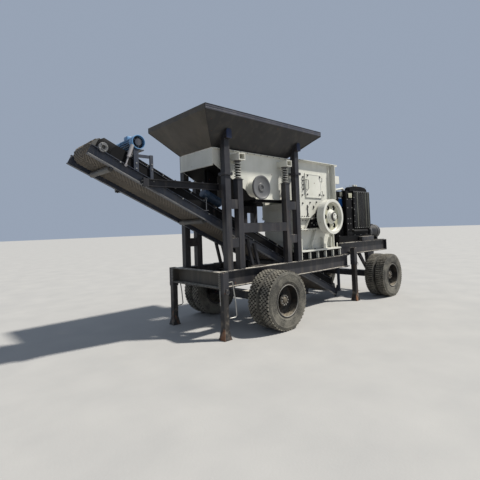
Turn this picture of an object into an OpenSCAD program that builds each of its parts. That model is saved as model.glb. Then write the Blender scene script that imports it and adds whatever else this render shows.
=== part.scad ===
// Mobile jaw crusher on a wheeled steel chassis: a feed hopper and a vibrating feeder on spring
// towers, a jaw crusher with a flywheel, a diesel power pack, and a discharge conveyor that rises
// to the front. X runs to the rear, Y to the far side, Z up from the ground, in millimetres.
// Lengths along the chassis are measured from the outer face of the front beam.

/* [Chassis] */
// Length of the lower rails
rail_len = 4050; // [3950:10:4300]
// Distance between the middles of the two rails
rail_gauge = 1280; // [1240:10:1400]
// Height of the lower rails
rail_h = 280; // [240:5:320]
// Width of the rail flanges
rail_w = 130; // [110:2:150]
// Thickness of the rail flanges
rail_flange = 16; // [10:1:20]
// Thickness of the rail webs
rail_web = 10; // [8:1:14]
// Height of the top of the lower rails above the ground
rail_top = 1100; // [1080:10:1200]
// Height of the raised rear rails
raised_h = 285; // [240:5:320]
// How far the raised rear rails lap over the lower rails
raised_lap = 250; // [150:5:260]
// Rear end of the raised rear rails
raised_end = 6000; // [5900:10:6300]
// Depth of the front beam along the chassis
front_beam_d = 140; // [120:5:160]
// Distance between web stiffeners of the rails
stiffener_pitch = 650; // [640:5:700]
// Width of the cross beams
cross_w = 100; // [80:5:110]

/* [Wheels] */
// Outer diameter of the tyres
tyre_d = 1050; // [1000:10:1080]
// Width of one tyre
tyre_w = 230; // [200:5:255]
// Distance between the middles of the two tyres of a pair
dual_pitch = 280; // [265:5:300]
// Diameter of the rims
rim_d = 570; // [520:10:600]
// Distance of the middle of the outer tyres from the centre line
outer_tyre_y = 1125; // [1115:5:1180]
// Place of the front axle along the chassis
front_axle_x = 1123; // [1000:5:1300]
// Place of the rear axle along the chassis
rear_axle_x = 5167; // [5000:5:5250]
// Diameter of the wheel hubs
hub_d = 240; // [200:5:280]
// Diameter of the axle spindles
spindle_d = 90; // [70:5:110]
// Side of the square axle beams
axle_side = 150; // [120:5:170]
// Number of nuts on a wheel
wheel_nuts = 10; // [6:1:10]

/* [Legs] */
// Side of the square leg tubes
leg_side = 100; // [80:2:110]
// Wall of the leg tubes
leg_wall = 6; // [4:1:10]
// Wall of the sleeves that hold the legs
sleeve_wall = 8; // [5:1:12]
// Gap on each side between a leg and its sleeve
leg_gap = 0.5; // [0.3:0.1:2]
// Length of the front sleeves
front_sleeve_len = 350; // [280:10:400]
// Length of the rear sleeves
rear_sleeve_len = 400; // [300:10:450]
// Height of the top of the rear sleeves
rear_sleeve_top = 1260; // [1200:10:1350]
// Place of the rear legs along the chassis
rear_leg_x = 4085; // [4080:5:4200]
// Side of the foot plates
foot_side = 160; // [140:5:220]
// Thickness of the foot plates
foot_t = 14; // [8:1:20]
// Height of the flared skirt above a foot plate
flare_h = 130; // [80:5:150]
// How far a leg can be drawn up
leg_lift = 200; // [100:10:220]
// Diameter of the handle rods
handle_d = 16; // [10:1:20]
// How far a handle stands out behind its sleeve
handle_reach = 90; // [70:5:110]
// Height of the upper end of a front handle
handle_top = 930; // [900:5:960]
// Height of the lower end of a front handle
handle_low = 340; // [335:5:380]

/* [Towers] */
// Side of the square tower posts
post_side = 120; // [100:2:130]
// Distance of the post middles from the centre line
post_y = 632; // [620:2:640]
// Place of the front hopper post
post_a1_x = 225; // [200:5:260]
// Place of the front spring post
post_b1_x = 510; // [480:5:560]
// Place of the rear spring post
post_b2_x = 1805; // [1750:5:1850]
// Place of the rear hopper post
post_a2_x = 2130; // [2110:5:2132]
// Height of the top of the spring posts
spring_post_top = 2700; // [2600:10:2740]
// Height of the lower gusset plates
gusset_low_z = 1490; // [1450:10:1520]
// Height of the upper gusset plates
gusset_high_z = 2165; // [2150:5:2300]
// Depth of the gusset plates
gusset_h = 165; // [120:5:180]
// Height of the long tower beam
tower_beam_z = 1740; // [1700:10:1850]
// How much higher the far tower's long beam lies
far_beam_rise = 150; // [100:10:180]
// Depth of the long tower beam
tower_beam_h = 170; // [120:5:200]
// Height of the bolted flanges on the front hopper posts
collar_z = 2750; // [2720:10:2800]
// Height of the bolted flanges on the rear hopper posts
collar_rear_z = 2890; // [2850:10:2920]
// Thickness of one bolted flange
collar_t = 20; // [12:1:30]
// How far a bolted flange stands out from its post
collar_lip = 30; // [20:2:40]
// Outer face of the saddles where the hopper rests on its posts, from the centre line
saddle_y = 760; // [740:5:780]
// Height of the lower edge of a saddle
saddle_low = 3380; // [3340:5:3400]
// Height of the middle of a saddle's round top
saddle_mid = 3500; // [3480:5:3520]

/* [Hopper] */
// Length of the hopper's rim
hopper_len = 3102; // [2900:10:3200]
// Width of the hopper's rim
hopper_w = 1826; // [1700:10:1900]
// Height of the hopper's rim above the ground
hopper_top = 3825; // [3750:10:3900]
// Height of the rim band
rim_h = 95; // [60:5:120]
// Front end of the rim, ahead of the front beam
hopper_front = 333; // [300:5:400]
// Thickness of the hopper's plates
hopper_t = 10; // [8:1:16]
// How far the rim band stands out
rim_lip = 8; // [6:1:12]

/* [Feeder] */
// Width of the feeder trough, outside
feeder_w = 1000; // [960:10:1020]
// Thickness of the feeder's side plates
feeder_t = 12; // [8:1:16]
// Front end of the feeder
feeder_x = 120; // [100:5:150]
// Rear end of the feeder
feeder_end = 2350; // [2330:5:2370]
// Height of the top of the feeder
feeder_top = 3240; // [3200:10:3260]
// Height of the front plate
feeder_front_h = 270; // [220:10:320]
// Height of the lower edge of the rear part
feeder_bottom = 2365; // [2340:5:2420]
// Place where the sloping lower edge ends
feeder_knee_x = 1170; // [1100:10:1250]
// Height of the floor above the lower end of the front plate
floor_rise = 30; // [26:2:40]
// Drop of the floor towards the crusher
floor_drop = 180; // [100:10:220]
// Diameter of the feeder's drive motor
feeder_motor_d = 180; // [160:5:190]
// Length of the feeder's drive motor
feeder_motor_len = 450; // [400:10:480]
// Place of the middle of the feeder's drive motor along the chassis
feeder_motor_x = 335; // [320:5:360]
// Height of the middle of the feeder's drive motor
feeder_motor_z = 2395; // [2390:5:2450]
// Place of the feeder's drive motor from the centre line, on the near side
feeder_motor_y = 150; // [120:5:180]
// Height of the runners under the feeder's side plates
runner_h = 55; // [40:5:60]
// Number of grizzly bars
bars = 9; // [7:1:10]
// Width of a grizzly bar at its top
bar_w = 46; // [30:2:50]
// Length of the grizzly bars
bar_len = 900; // [700:10:1000]
// Width of the feeder's bracket tubes
bracket_w = 150; // [120:5:170]
// Height of the feeder's bracket tubes
bracket_h = 120; // [100:5:130]
// Wall of the bracket tubes
bracket_wall = 12; // [8:1:16]
// Outer end of the bracket tubes from the centre line
bracket_y = 765; // [740:5:780]

/* [Springs] */
// Outer diameter of the coil springs
spring_d = 130; // [100:5:140]
// Diameter of the spring wire
wire_d = 18; // [12:1:20]
// Turns of a spring
spring_turns = 7; // [5:0.5:9]
// Free height of a spring
spring_h = 318; // [280:1:340]
// Thickness of the seats of the springs
seat_t = 12; // [8:1:16]

/* [Exciter] */
// Diameter of the grey pulley disc
exciter_d = 450; // [380:10:480]
// Place of the exciter shaft along the chassis
exciter_x = 1060; // [1020:5:1090]
// Height of the exciter shaft
exciter_z = 2565; // [2550:5:2600]
// Diameter of the exciter housing
exciter_housing_d = 300; // [260:10:340]
// Outer face of the exciter housing from the centre line
exciter_housing_y = 690; // [660:5:700]
// Thickness of the pulley disc
exciter_t = 45; // [30:5:60]
// Gap between the pulley disc and the housing
exciter_gap = 25; // [10:5:40]
// Diameter of the exciter shaft
exciter_shaft_d = 60; // [40:5:70]

/* [Crusher] */
// Front face of the crusher
crusher_x = 2400; // [2385:5:2430]
// Rear face of the crusher
crusher_end = 3760; // [3700:5:3775]
// Width of the crusher, outside
crusher_w = 1100; // [1060:10:1120]
// Width of the crusher's lower body, outside
body_w = 980; // [940:10:1000]
// Thickness of the crusher's walls
crusher_t = 40; // [30:2:50]
// Height of the ledge where the side covers end
ledge_z = 1985; // [1970:5:2000]
// Height of the long flange on the lower body
flange_z = 1735; // [1720:5:1750]
// Rear edge of the side covers
cover_end = 3520; // [3500:5:3540]
// Height of the joint between crusher and hood
hood_z = 2400; // [2390:5:2420]
// Height of the top of the hood
hood_top = 3250; // [3200:10:3300]
// Thickness of the hood's plates
hood_t = 12; // [8:1:20]
// Rear end of the hood's roof
roof_end = 3855; // [3800:5:3900]
// Depth of the beams under the crusher
base_h = 170; // [150:5:180]
// Thickness of the flange plate under the crusher
base_plate_t = 35; // [25:1:40]
// Outer edge of the flange plate from the centre line
base_plate_y = 665; // [660:5:690]
// Front end of the beams under the crusher
base_x = 2255; // [2254:1:2300]
// Rear end of the beams under the crusher
base_end = 3780; // [3778:1:3790]
// Place of the crusher shaft along the chassis
shaft_x = 3200; // [3160:5:3240]
// Height of the crusher shaft
shaft_z = 2010; // [1980:5:2020]
// Diameter of the crusher shaft
shaft_d = 150; // [120:5:170]
// Diameter of the flywheels
flywheel_d = 780; // [700:10:800]
// Width of the flywheels
flywheel_w = 180; // [140:5:200]
// Inner face of the flywheels from the centre line
flywheel_y = 690; // [685:5:720]
// Diameter of the bearing housings
housing_d = 330; // [280:10:360]
// Width of a bearing housing
housing_w = 110; // [80:5:120]
// How far a bearing pedestal's foot reaches ahead of the shaft
pedestal_front = 560; // [540:5:580]
// How far a bearing pedestal's foot reaches behind the shaft
pedestal_rear = 290; // [270:5:300]
// Thickness of the jaw plates
jaw_t = 90; // [60:5:110]
// Width of the jaws' mouth
mouth = 420; // [350:10:450]
// Discharge gap between the jaws
jaw_gap = 80; // [50:5:120]

/* [Door] */
// Front edge of the door
door_x = 2620; // [2580:5:2660]
// Length of the door
door_len = 610; // [560:5:640]
// Height of the lower edge of the door
door_z = 2435; // [2425:5:2460]
// Height of the door
door_h = 545; // [480:5:600]
// Thickness of the door
door_t = 14; // [8:1:20]
// Diameter of the hinge knuckles of the door
knuckle_d = 26; // [22:1:30]
// Diameter of the hinge pins of the door
pin_d = 12; // [8:1:14]
// Height of one hinge knuckle
knuckle_h = 70; // [50:5:90]
// How far the door can swing
door_swing = 110; // [90:5:120]

/* [Power pack] */
// Front end of the skid
skid_x = 3850; // [3845:5:3900]
// Rear end of the skid
skid_end = 5330; // [5280:5:5340]
// Height of the skid
skid_h = 160; // [120:5:180]
// Width of the skid
skid_w = 1160; // [1100:10:1200]
// Front edge of the control cabinet
cabinet_x = 4250; // [4240:5:4270]
// Height of the lower edge of the radiator and the cabinet
cabinet_z = 1715; // [1700:5:1730]
// Front edge of the radiator
radiator_x = 4540; // [4520:5:4600]
// Length of the radiator
radiator_len = 820; // [760:5:850]
// Height of the top of the radiator's core
radiator_top = 2665; // [2640:5:2700]
// Height of the radiator's rounded top tank
top_tank_h = 130; // [100:5:150]
// Depth of the radiator
radiator_d = 170; // [120:5:200]
// Near face of the radiator from the centre line
radiator_y = 600; // [560:5:620]
// Width of the edge round the radiator's fins
core_edge = 45; // [35:5:55]
// Number of upright fins on the radiator
fins = 24; // [16:1:26]
// Diameter of the tank
tank_d = 370; // [320:5:400]
// Length of the tank
tank_len = 550; // [500:10:600]
// Front end of the tank
tank_x = 5370; // [5365:5:5400]
// Width of the drive belt between the engine and the far flywheel
drive_belt_w = 100; // [80:5:120]
// Diameter of the engine's drive pulley
drive_pulley_d = 300; // [260:10:360]
// Place of the engine's crankshaft along the chassis
crank_x = 4950; // [4900:5:5000]
// Height of the engine's crankshaft above the skid
crank_rise = 350; // [300:10:400]
// Length of the engine block along the chassis
block_len = 520; // [480:10:560]
// Width of the engine block across the chassis
block_w = 760; // [700:10:800]
// Height of the engine block above its sump
block_h = 530; // [480:10:560]
// Place of the engine's middle from the centre line, on the far side
engine_y = 40; // [30:5:60]
// Height of the sump under the block
sump_h = 90; // [70:5:110]
// Height of the cylinder heads
head_h = 180; // [150:5:200]
// Height of the control box ahead of the engine
control_h = 690; // [640:10:720]
// Width of the control box
control_w = 420; // [380:10:460]
// Near face of the control box from the centre line
control_y = 480; // [460:5:500]
// Height of the low box between the control box and the engine
low_box_h = 420; // [380:10:460]
// Height of the battery and tool case on the far side
case_h = 500; // [460:10:540]
// Diameter of the air cleaner on the control box
cleaner_d = 230; // [200:5:250]
// Diameter of the exhaust pipe
exhaust_d = 90; // [70:5:110]
// Length of the upright exhaust pipe
exhaust_len = 540; // [480:10:600]
// Diameter of the pipe from the crusher's hood to the power pack
pipe_d = 50; // [40:2:60]

/* [Conveyor] */
// Slope of the conveyor
slope = 25.4; // [24:0.2:26]
// Place of the head pulley ahead of the front beam
head_reach = 1780; // [1600:10:1900]
// Height of the head pulley above the ground
head_z = 3015; // [2980:5:3060]
// Distance between the head pulley and the tail pulley
belt_len = 6120; // [5980:10:6160]
// Radius of the pulleys
pulley_r = 135; // [120:1:140]
// Thickness of the belt
belt_t = 10; // [8:1:12]
// Width of the belt
belt_w = 650; // [600:10:680]
// Width over the two side channels
channel_span = 900; // [880:5:920]
// Height of the side channels
channel_h = 150; // [120:5:160]
// Width of the flanges of the side channels
channel_b = 55; // [40:5:60]
// Thickness of the side channels
channel_t = 7; // [5:1:10]
// Distance from the pulley axis down to the top of the channels
axis_drop = 45; // [40:1:50]
// Overhang of the channels past the head pulley
head_overhang = 150; // [150:5:180]
// Overhang of the channels past the tail pulley
tail_overhang = 180; // [160:5:200]
// Side of the hanger posts that carry the tail
hanger_side = 50; // [40:5:60]
// Height of the lower end of the hanger posts
hanger_low = 235; // [225:5:245]
// Height of the skirt boards
skirt_h = 190; // [150:5:200]
// Thickness of the skirt boards
skirt_t = 6; // [4:1:10]
// Start of the skirt boards below the head pulley
skirt_start = 130; // [110:5:160]
// Diameter of the carrying and return rollers
roller_d = 89; // [76:1:95]
// Distance between carrying rollers
roller_pitch = 900; // [700:10:1100]
// Diameter of the conveyor motor
motor_d = 212; // [190:2:220]
// Length of the conveyor motor
motor_len = 700; // [600:10:760]
// Length of the cowl at the motor's near end
cowl_len = 110; // [90:5:130]
// Length of the gear case at the motor's far end
gear_len = 150; // [120:5:180]
// Distance from the motor's middle back to the rear uprights of its portal
portal_rear = 190; // [170:5:210]
// Place of the conveyor motor along the machine
motor_x = -1250; // [-1290:5:-1220]
// Height of the conveyor motor above the ground
motor_z = 3160; // [3150:5:3200]
// Width of the support arms
arm_w = 50; // [40:5:60]
// Depth of the support arms
arm_h = 110; // [90:5:120]
// Height of the support arms
arm_z = 2500; // [2450:10:2560]
// Upper end of the foremost strut under the conveyor
strut_x = 865; // [830:5:900]
// Front end of the support arms, ahead of the front beam
arm_reach = 1210; // [1150:10:1250]

/* [Hidden] */

// Running gap between a shaft and its bore, and between curved faces that only just miss
fit = 0.1;
// Gap between curved faces that are pressed or laid together
seat = 0.3;
hanger_x = -head_reach + (belt_len + 140) * cos(slope);
tip_x = -head_reach - head_overhang * cos(slope) - (axis_drop + channel_h) * sin(slope);
mid_x = (tip_x + raised_end) / 2;
rail_bottom = rail_top - rail_h;
raised_x = rail_len - raised_lap;
raised_top = rail_top + raised_h;
rail_y = rail_gauge / 2;
rail_out = rail_y + rail_w / 2;
inner_tyre_y = outer_tyre_y - dual_pitch;
wheel_mid_y = (outer_tyre_y + inner_tyre_y) / 2;
axle_z = tyre_d / 2;
sleeve_in = leg_side + 2 * leg_gap;
sleeve_out = sleeve_in + 2 * sleeve_wall;
leg_y = rail_out + sleeve_out / 2;
front_leg_x = sleeve_out / 2;
rear_leg_mid = rear_leg_x + sleeve_out / 2;
post_out = post_y + post_side / 2;
post_in = post_y - post_side / 2;
hopper_end = hopper_len - hopper_front;
hopper_z = feeder_top + 10;
rim_z = hopper_top - rim_h;
throat_x = feeder_x - 20;
throat_end = post_a2_x - 15;
throat_y = feeder_w / 2;
wall_slope = (hopper_w / 2 - throat_y) / (rim_z - hopper_z);
base_top = rail_top + base_h;
base_y = rail_y - 40;
base_flange = 14;
wall_z = base_top + base_plate_t;
crusher_y = crusher_w / 2;
body_y = body_w / 2;
skid_top = raised_top + skid_h;
belt_r = pulley_r + belt_t;
channel_y = channel_span / 2;
channel_web_y = channel_y - channel_b;
channel_bottom = -axis_drop - channel_h;
skirt_y = channel_web_y + 13;
portal_y = skirt_y + skirt_t + 2;
head_x = -head_reach;
bracket_z = spring_post_top + spring_h + seat_t;
hinge_x = door_x + door_len + 15;
hinge_y = crusher_y + 22;
knuckles = [door_z + 80, door_z + door_h - 150];

frame_grey = [0.27, 0.27, 0.29];
cream = [0.83, 0.83, 0.79];
disc_grey = [0.44, 0.44, 0.46];
black_steel = [0.16, 0.16, 0.17];
rubber = [0.14, 0.13, 0.12];
rim_grey = [0.42, 0.41, 0.4];
motor_blue = [0.35, 0.55, 0.72];
engine_blue = [0.13, 0.3, 0.52];

// Moves a length measured from the front beam to the middle of the machine.
module placed() {
    translate([-mid_x, 0, 0]) children();
}

// One copy on each side of the centre line.
module both_sides() {
    children();
    mirror([0, 1, 0]) children();
}

// The conveyor's own frame: X runs down the slope from the head pulley's axis, Z square to the belt.
module on_conveyor() {
    placed() translate([head_x, 0, head_z]) rotate([0, slope, 0]) children();
}

// A box given by its low corner and its high corner.
module span(low, high) {
    translate(low) cube(high - low);
}

// A profile drawn in X and Z, extruded across from y0 to y1.
module across(y0, y1) {
    translate([0, y1, 0]) rotate([90, 0, 0]) linear_extrude(y1 - y0) children();
}

// A round bar along Y.
module round_y(x, z, y0, y1, d, faces = 64) {
    translate([x, y0, z]) rotate([-90, 0, 0]) cylinder(d = d, h = y1 - y0, $fn = faces);
}

// An I section standing on the line z = 0, drawn in Y and Z.
module i_section(h, w, flange, web) {
    translate([-w / 2, 0]) square([w, flange]);
    translate([-w / 2, h - flange]) square([w, flange]);
    translate([-web / 2, 0]) square([web, h]);
}

// An I beam along X.
module i_beam(x0, x1, y, z, h, w, flange, web) {
    translate([x0, y, z]) rotate([90, 0, 90]) linear_extrude(x1 - x0) i_section(h, w, flange, web);
}

// Plates on the inner side of an I beam, between its flanges, as far apart as pitch.
module stiffeners(x0, x1, y, z, h, w, flange, pitch) {
    count = max(1, floor((x1 - x0) / pitch));
    step = (x1 - x0) / count;
    for (i = [0 : count])
        translate([x0 + min(i * step, x1 - x0 - flange), y - w * 0.47, z + flange / 2])
            cube([flange * 0.75, w * 0.47, h - flange]);
}

// Chassis: one side's lower rail with its raised rear part welded on top.
module rail() {
    color(frame_grey) placed() {
        i_beam(front_beam_d, rail_len, rail_y, rail_bottom, rail_h, rail_w, rail_flange, rail_web);
        stiffeners(front_beam_d + stiffener_pitch / 2, rail_len, rail_y, rail_bottom, rail_h, rail_w,
            rail_flange, stiffener_pitch);
        i_beam(raised_x, raised_end - rail_flange, rail_y, rail_top, raised_h, rail_w, rail_flange, rail_web);
        stiffeners(raised_x, raised_end - rail_flange, rail_y, rail_top, raised_h, rail_w,
            rail_flange, stiffener_pitch);
    }
}

module rail_near() {
    mirror([0, 1, 0]) rail();
}

module rail_far() {
    rail();
}

// The front beam: a channel across both rails with its open side to the front.
module front_beam() {
    web_x = front_beam_d - rail_web;
    color(frame_grey) placed() {
        span([0, -rail_out, rail_bottom], [front_beam_d, rail_out, rail_bottom + rail_flange]);
        span([0, -rail_out, rail_top - rail_flange], [front_beam_d, rail_out, rail_top]);
        span([web_x, -rail_out, rail_bottom], [front_beam_d, rail_out, rail_top]);
        both_sides() span([0, rail_out - rail_flange, rail_bottom], [web_x + 1, rail_out, rail_top]);
    }
}

// Beams between the rails: one under the conveyor, one behind its tail, and the rear end beam.
module cross_members() {
    inner = rail_y - rail_web / 2;
    beam = rail_h - 2 * rail_flange;
    tie = raised_h - 2 * rail_flange;
    color(frame_grey) placed() {
        span([front_axle_x - cross_w / 2, -inner, rail_bottom + rail_flange],
            [front_axle_x + cross_w / 2, inner, rail_bottom + rail_flange + beam * 0.6]);
        span([rear_axle_x - cross_w / 2, -inner, rail_top + rail_flange],
            [rear_axle_x + cross_w / 2, inner, rail_top + rail_flange + tie]);
        span([raised_end - rail_flange, -rail_out, rail_top], [raised_end, rail_out, raised_top]);
        span([rail_len + cross_w, -inner, rail_top + rail_flange],
            [rail_len + 2 * cross_w, inner, rail_top + rail_flange + tie]);
    }
}

// One hanger that carries an axle under a rail.
module hanger(x, top, reach) {
    low = axle_z - axle_side / 2;
    both_sides() for (y = [rail_y - 50, rail_y + 30])
        across(y, y + 20) polygon([
            [x - reach, top], [x + reach * 0.6, top], [x + axle_side * 0.7, low + 20],
            [x + axle_side * 0.5, low - 15], [x - axle_side * 0.5, low - 15],
            [x - axle_side * 0.7, low + 20]
        ]);
}

// Both axles: a square beam with turned spindles, its hangers, and a brace on the rear one.
module axle(x, top, reach) {
    beam_end = inner_tyre_y + 35;
    span([x - axle_side / 2, -beam_end, axle_z - axle_side / 2],
        [x + axle_side / 2, beam_end, axle_z + axle_side / 2]);
    both_sides() round_y(x, axle_z, beam_end - 1, wheel_mid_y + 50, spindle_d);
    hanger(x, top, reach);
}

module axles() {
    brace_x = rear_axle_x - 620;
    color(frame_grey) placed() {
        axle(front_axle_x, rail_bottom, 260);
        axle(rear_axle_x, rail_top, 200);
        both_sides() across(rail_y - 25, rail_y + 25) polygon([
            [brace_x, rail_top], [brace_x + 110, rail_top],
            [rear_axle_x - axle_side / 2, axle_z + 50], [rear_axle_x - axle_side / 2, axle_z - 40]
        ]);
    }
}

// The square sleeves on the chassis that the legs slide in.
module sleeve(x, z0, z1) {
    difference() {
        translate([x - sleeve_out / 2, leg_y - sleeve_out / 2, z0]) cube([sleeve_out, sleeve_out, z1 - z0]);
        translate([x - sleeve_in / 2, leg_y - sleeve_in / 2, z0 - 1])
            cube([sleeve_in, sleeve_in, z1 - z0 + 2]);
    }
}

// A straight piece of round rod between two points of a plane y, with a ball at its end.
module rod(from, to, y, d) {
    run = to[0] - from[0];
    rise = to[1] - from[1];
    translate([from[0], y, from[1]]) rotate([0, atan2(run, rise), 0])
        cylinder(d = d, h = norm([run, rise]), $fn = 24);
    translate([to[0], y, to[1]]) sphere(d = 1.15 * d, $fn = 24);
}

// The bent handle rod of a front sleeve: out of the sleeve, down beside the leg and back to it.
module handle(x) {
    y = leg_y + sleeve_out / 2 - handle_d;
    face = x + sleeve_out / 2;
    out = face + handle_reach;
    rod([face - 2, handle_top], [out, handle_top], y, handle_d);
    rod([out, handle_top], [out + 55, handle_top - 330], y, handle_d);
    rod([out + 55, handle_top - 330], [out + 75, handle_low + 30], y, handle_d);
    rod([out + 75, handle_low + 30], [out + 45, handle_low], y, handle_d);
    rod([out + 45, handle_low], [face + 14, handle_low], y, handle_d);
}

module leg_sleeves() {
    color(frame_grey) placed() both_sides() {
        sleeve(front_leg_x, rail_top - front_sleeve_len, rail_top);
        handle(front_leg_x);
        sleeve(rear_leg_mid, rear_sleeve_top - rear_sleeve_len, rear_sleeve_top);
        span([rear_leg_x, rail_y + rail_web / 2, rail_top + rail_flange],
            [rear_leg_x + sleeve_out, rail_out + 1, rail_top + rail_flange + 60]);
    }
}

// The sloping skirt of a foot seen from one side, extruded across the foot.
module flare() {
    translate([0, foot_side / 2, foot_t - 1]) rotate([90, 0, 0]) linear_extrude(foot_side) polygon([
        [-foot_side / 2 + 4, 0], [foot_side / 2 - 4, 0], [leg_side / 2 + 3, flare_h], [-leg_side / 2 - 3, flare_h]
    ]);
}

// One telescopic leg: a square tube on a foot plate with a flared skirt round the tube.
module leg(x, top) {
    bore = leg_side - 2 * leg_wall;
    color(frame_grey) placed() translate([x, leg_y, 0]) {
        difference() {
            translate([-leg_side / 2, -leg_side / 2, foot_t - 1])
                cube([leg_side, leg_side, top - leg_lift - foot_t]);
            translate([-bore / 2, -bore / 2, foot_t + flare_h]) cube([bore, bore, top]);
        }
        translate([-foot_side / 2, -foot_side / 2, 0]) cube([foot_side, foot_side, foot_t]);
        intersection() {
            flare();
            rotate([0, 0, 90]) flare();
        }
    }
}

module leg_front_far() {
    leg(front_leg_x, rail_top + leg_lift - 60);
}

module leg_front_near() {
    mirror([0, 1, 0]) leg_front_far();
}

module leg_rear_far() {
    leg(rear_leg_mid, rear_sleeve_top + leg_lift - 60);
}

module leg_rear_near() {
    mirror([0, 1, 0]) leg_rear_far();
}

// Half of a tyre's section, from its bead to the middle of its tread.
function tyre_half(r, rim, w) = [
    [rim, 0.34 * w], [rim + 0.12 * (r - rim), 0.41 * w], [rim + 0.3 * (r - rim), 0.48 * w],
    [rim + 0.52 * (r - rim), 0.5 * w], [rim + 0.78 * (r - rim), 0.47 * w],
    [r - 14, 0.42 * w], [r - 3, 0.36 * w], [r, 0.25 * w]
];

// A tyre about Y, centred on its own middle plane.
module tyre() {
    rim = rim_d / 2 + seat;
    half = tyre_half(tyre_d / 2, rim, tyre_w);
    back = [for (i = [len(half) - 1 : -1 : 0]) [half[i][0], -half[i][1]]];
    rotate([-90, 0, 0]) rotate_extrude($fn = 96) polygon(concat(half, back));
}

// The two tyres of a far wheel pair.
module tyre_pair(x) {
    color(rubber) placed() for (y = [inner_tyre_y, outer_tyre_y])
        translate([x, y, axle_z]) tyre();
}

module tyres_front_far() {
    tyre_pair(front_axle_x);
}

module tyres_front_near() {
    mirror([0, 1, 0]) tyres_front_far();
}

module tyres_rear_far() {
    tyre_pair(rear_axle_x);
}

module tyres_rear_near() {
    mirror([0, 1, 0]) tyres_rear_far();
}

// One dished rim about Y: its barrel is centred on middle, its disc lies at the mounting plane.
module rim(middle, plane) {
    outer = rim_d / 2;
    inner = outer - 12;
    half = tyre_w * 0.4;
    near = middle - half;
    polygon([
        [outer, near], [outer, middle + half], [outer + 14, middle + half], [outer + 14, middle + half + 8],
        [inner, middle + half + 8], [inner, near + 30], [inner - 60, near - 5],
        [outer * 0.5, plane + 14], [hub_d / 2 - 20, plane + 14], [hub_d / 2 - 20, plane],
        [outer * 0.5, plane], [inner - 55, near - 16], [inner, near]
    ]);
}

// The two rims of a far wheel pair with the hub between them.
module rim_pair(x) {
    plane = wheel_mid_y;
    hub_end = wheel_mid_y + 95;
    color(rim_grey) placed() translate([x, 0, axle_z]) difference() {
        union() {
            mirror([0, 0, 0]) rotate([-90, 0, 0]) rotate_extrude($fn = 96) rim(outer_tyre_y, plane);
            translate([0, 2 * plane, 0]) mirror([0, 1, 0]) rotate([-90, 0, 0])
                rotate_extrude($fn = 96) rim(2 * plane - inner_tyre_y, plane);
            translate([0, inner_tyre_y + 45, 0]) rotate([-90, 0, 0])
                cylinder(d = hub_d, h = hub_end - inner_tyre_y - 45, $fn = 64);
            translate([0, hub_end - 1, 0]) rotate([-90, 0, 0])
                cylinder(d = hub_d * 0.62, h = 40, $fn = 64);
            for (i = [0 : wheel_nuts - 1]) rotate([0, i * 360 / wheel_nuts, 0])
                translate([hub_d / 2 + 22, plane + 13, 0]) rotate([-90, 0, 0])
                    cylinder(d = 32, h = 26, $fn = 6);
        }
        translate([0, inner_tyre_y, 0]) rotate([-90, 0, 0])
            cylinder(d = spindle_d + 2 * fit, h = wheel_mid_y + 55 - inner_tyre_y, $fn = 64);
    }
}

module rims_front_far() {
    rim_pair(front_axle_x);
}

module rims_front_near() {
    mirror([0, 1, 0]) rims_front_far();
}

module rims_rear_far() {
    rim_pair(rear_axle_x);
}

module rims_rear_near() {
    mirror([0, 1, 0]) rims_rear_far();
}

// A hopper post: it stands on the rail and is cut off along the hopper's sloping wall.
function wall_height(y) = hopper_z + (y - throat_y) / wall_slope - 1;

module hopper_post(x, collar) {
    translate([x, 0, 0]) rotate([90, 0, 90]) linear_extrude(post_side) polygon([
        [post_in, rail_top], [post_out, rail_top],
        [post_out, wall_height(post_out)], [post_in, wall_height(post_in)]
    ]);
    for (z = [collar, collar + collar_t + 2])
        span([x - collar_lip, post_in - collar_lip, z],
            [x + post_side + collar_lip, post_out + collar_lip, z + collar_t]);
    saddle(x + post_side / 2);
}

// The round-topped saddle on a post's upper end, cut off along the hopper's sloping wall.
module saddle(x) {
    intersection() {
        across(post_in, hopper_w) {
            translate([x - post_side / 2, saddle_low]) square([post_side, saddle_mid - saddle_low]);
            translate([x, saddle_mid]) circle(d = post_side, $fn = 64);
        }
        rotate([90, 0, 90]) linear_extrude(hopper_len) polygon([
            [post_out - 1, saddle_low], [saddle_y, saddle_low],
            [saddle_y, wall_height(saddle_y)], [post_out - 1, wall_height(post_out - 1)]
        ]);
    }
}

module spring_post(x) {
    span([x, post_in, rail_top], [x + post_side, post_out, spring_post_top]);
    span([x - 15, post_in - 10, spring_post_top - seat_t],
        [x + post_side + 15, post_out + 10, spring_post_top]);
}

// One tower side: two hopper posts, two spring posts, and the plates and the beam between them.
module tower(rise) {
    gaps = [[post_a1_x + post_side, post_b1_x], [post_b2_x + post_side, post_a2_x]];
    color(frame_grey) placed() {
        hopper_post(post_a1_x, collar_z);
        hopper_post(post_a2_x, collar_rear_z);
        spring_post(post_b1_x);
        spring_post(post_b2_x);
        for (gap = gaps) for (z = [gusset_low_z, gusset_high_z])
            span([gap[0] - 1, post_in + 20, z], [gap[1] + 1, post_out - 8, z + gusset_h]);
        span([post_b1_x + post_side - 1, post_in + 10, tower_beam_z + rise],
            [post_b2_x + 1, post_out - 5, tower_beam_z + rise + tower_beam_h]);
    }
}

module tower_near() {
    mirror([0, 1, 0]) tower(0);
}

module tower_far() {
    tower(far_beam_rise);
}

// The outline of the hopper's funnel seen from the side, its ends drawn in by inset.
module funnel_side(inset) {
    across(-hopper_w, hopper_w) polygon([
        [throat_x + inset, hopper_z], [throat_end - inset, hopper_z],
        [hopper_end - inset, rim_z], [-hopper_front + inset, rim_z]
    ]);
}

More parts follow.
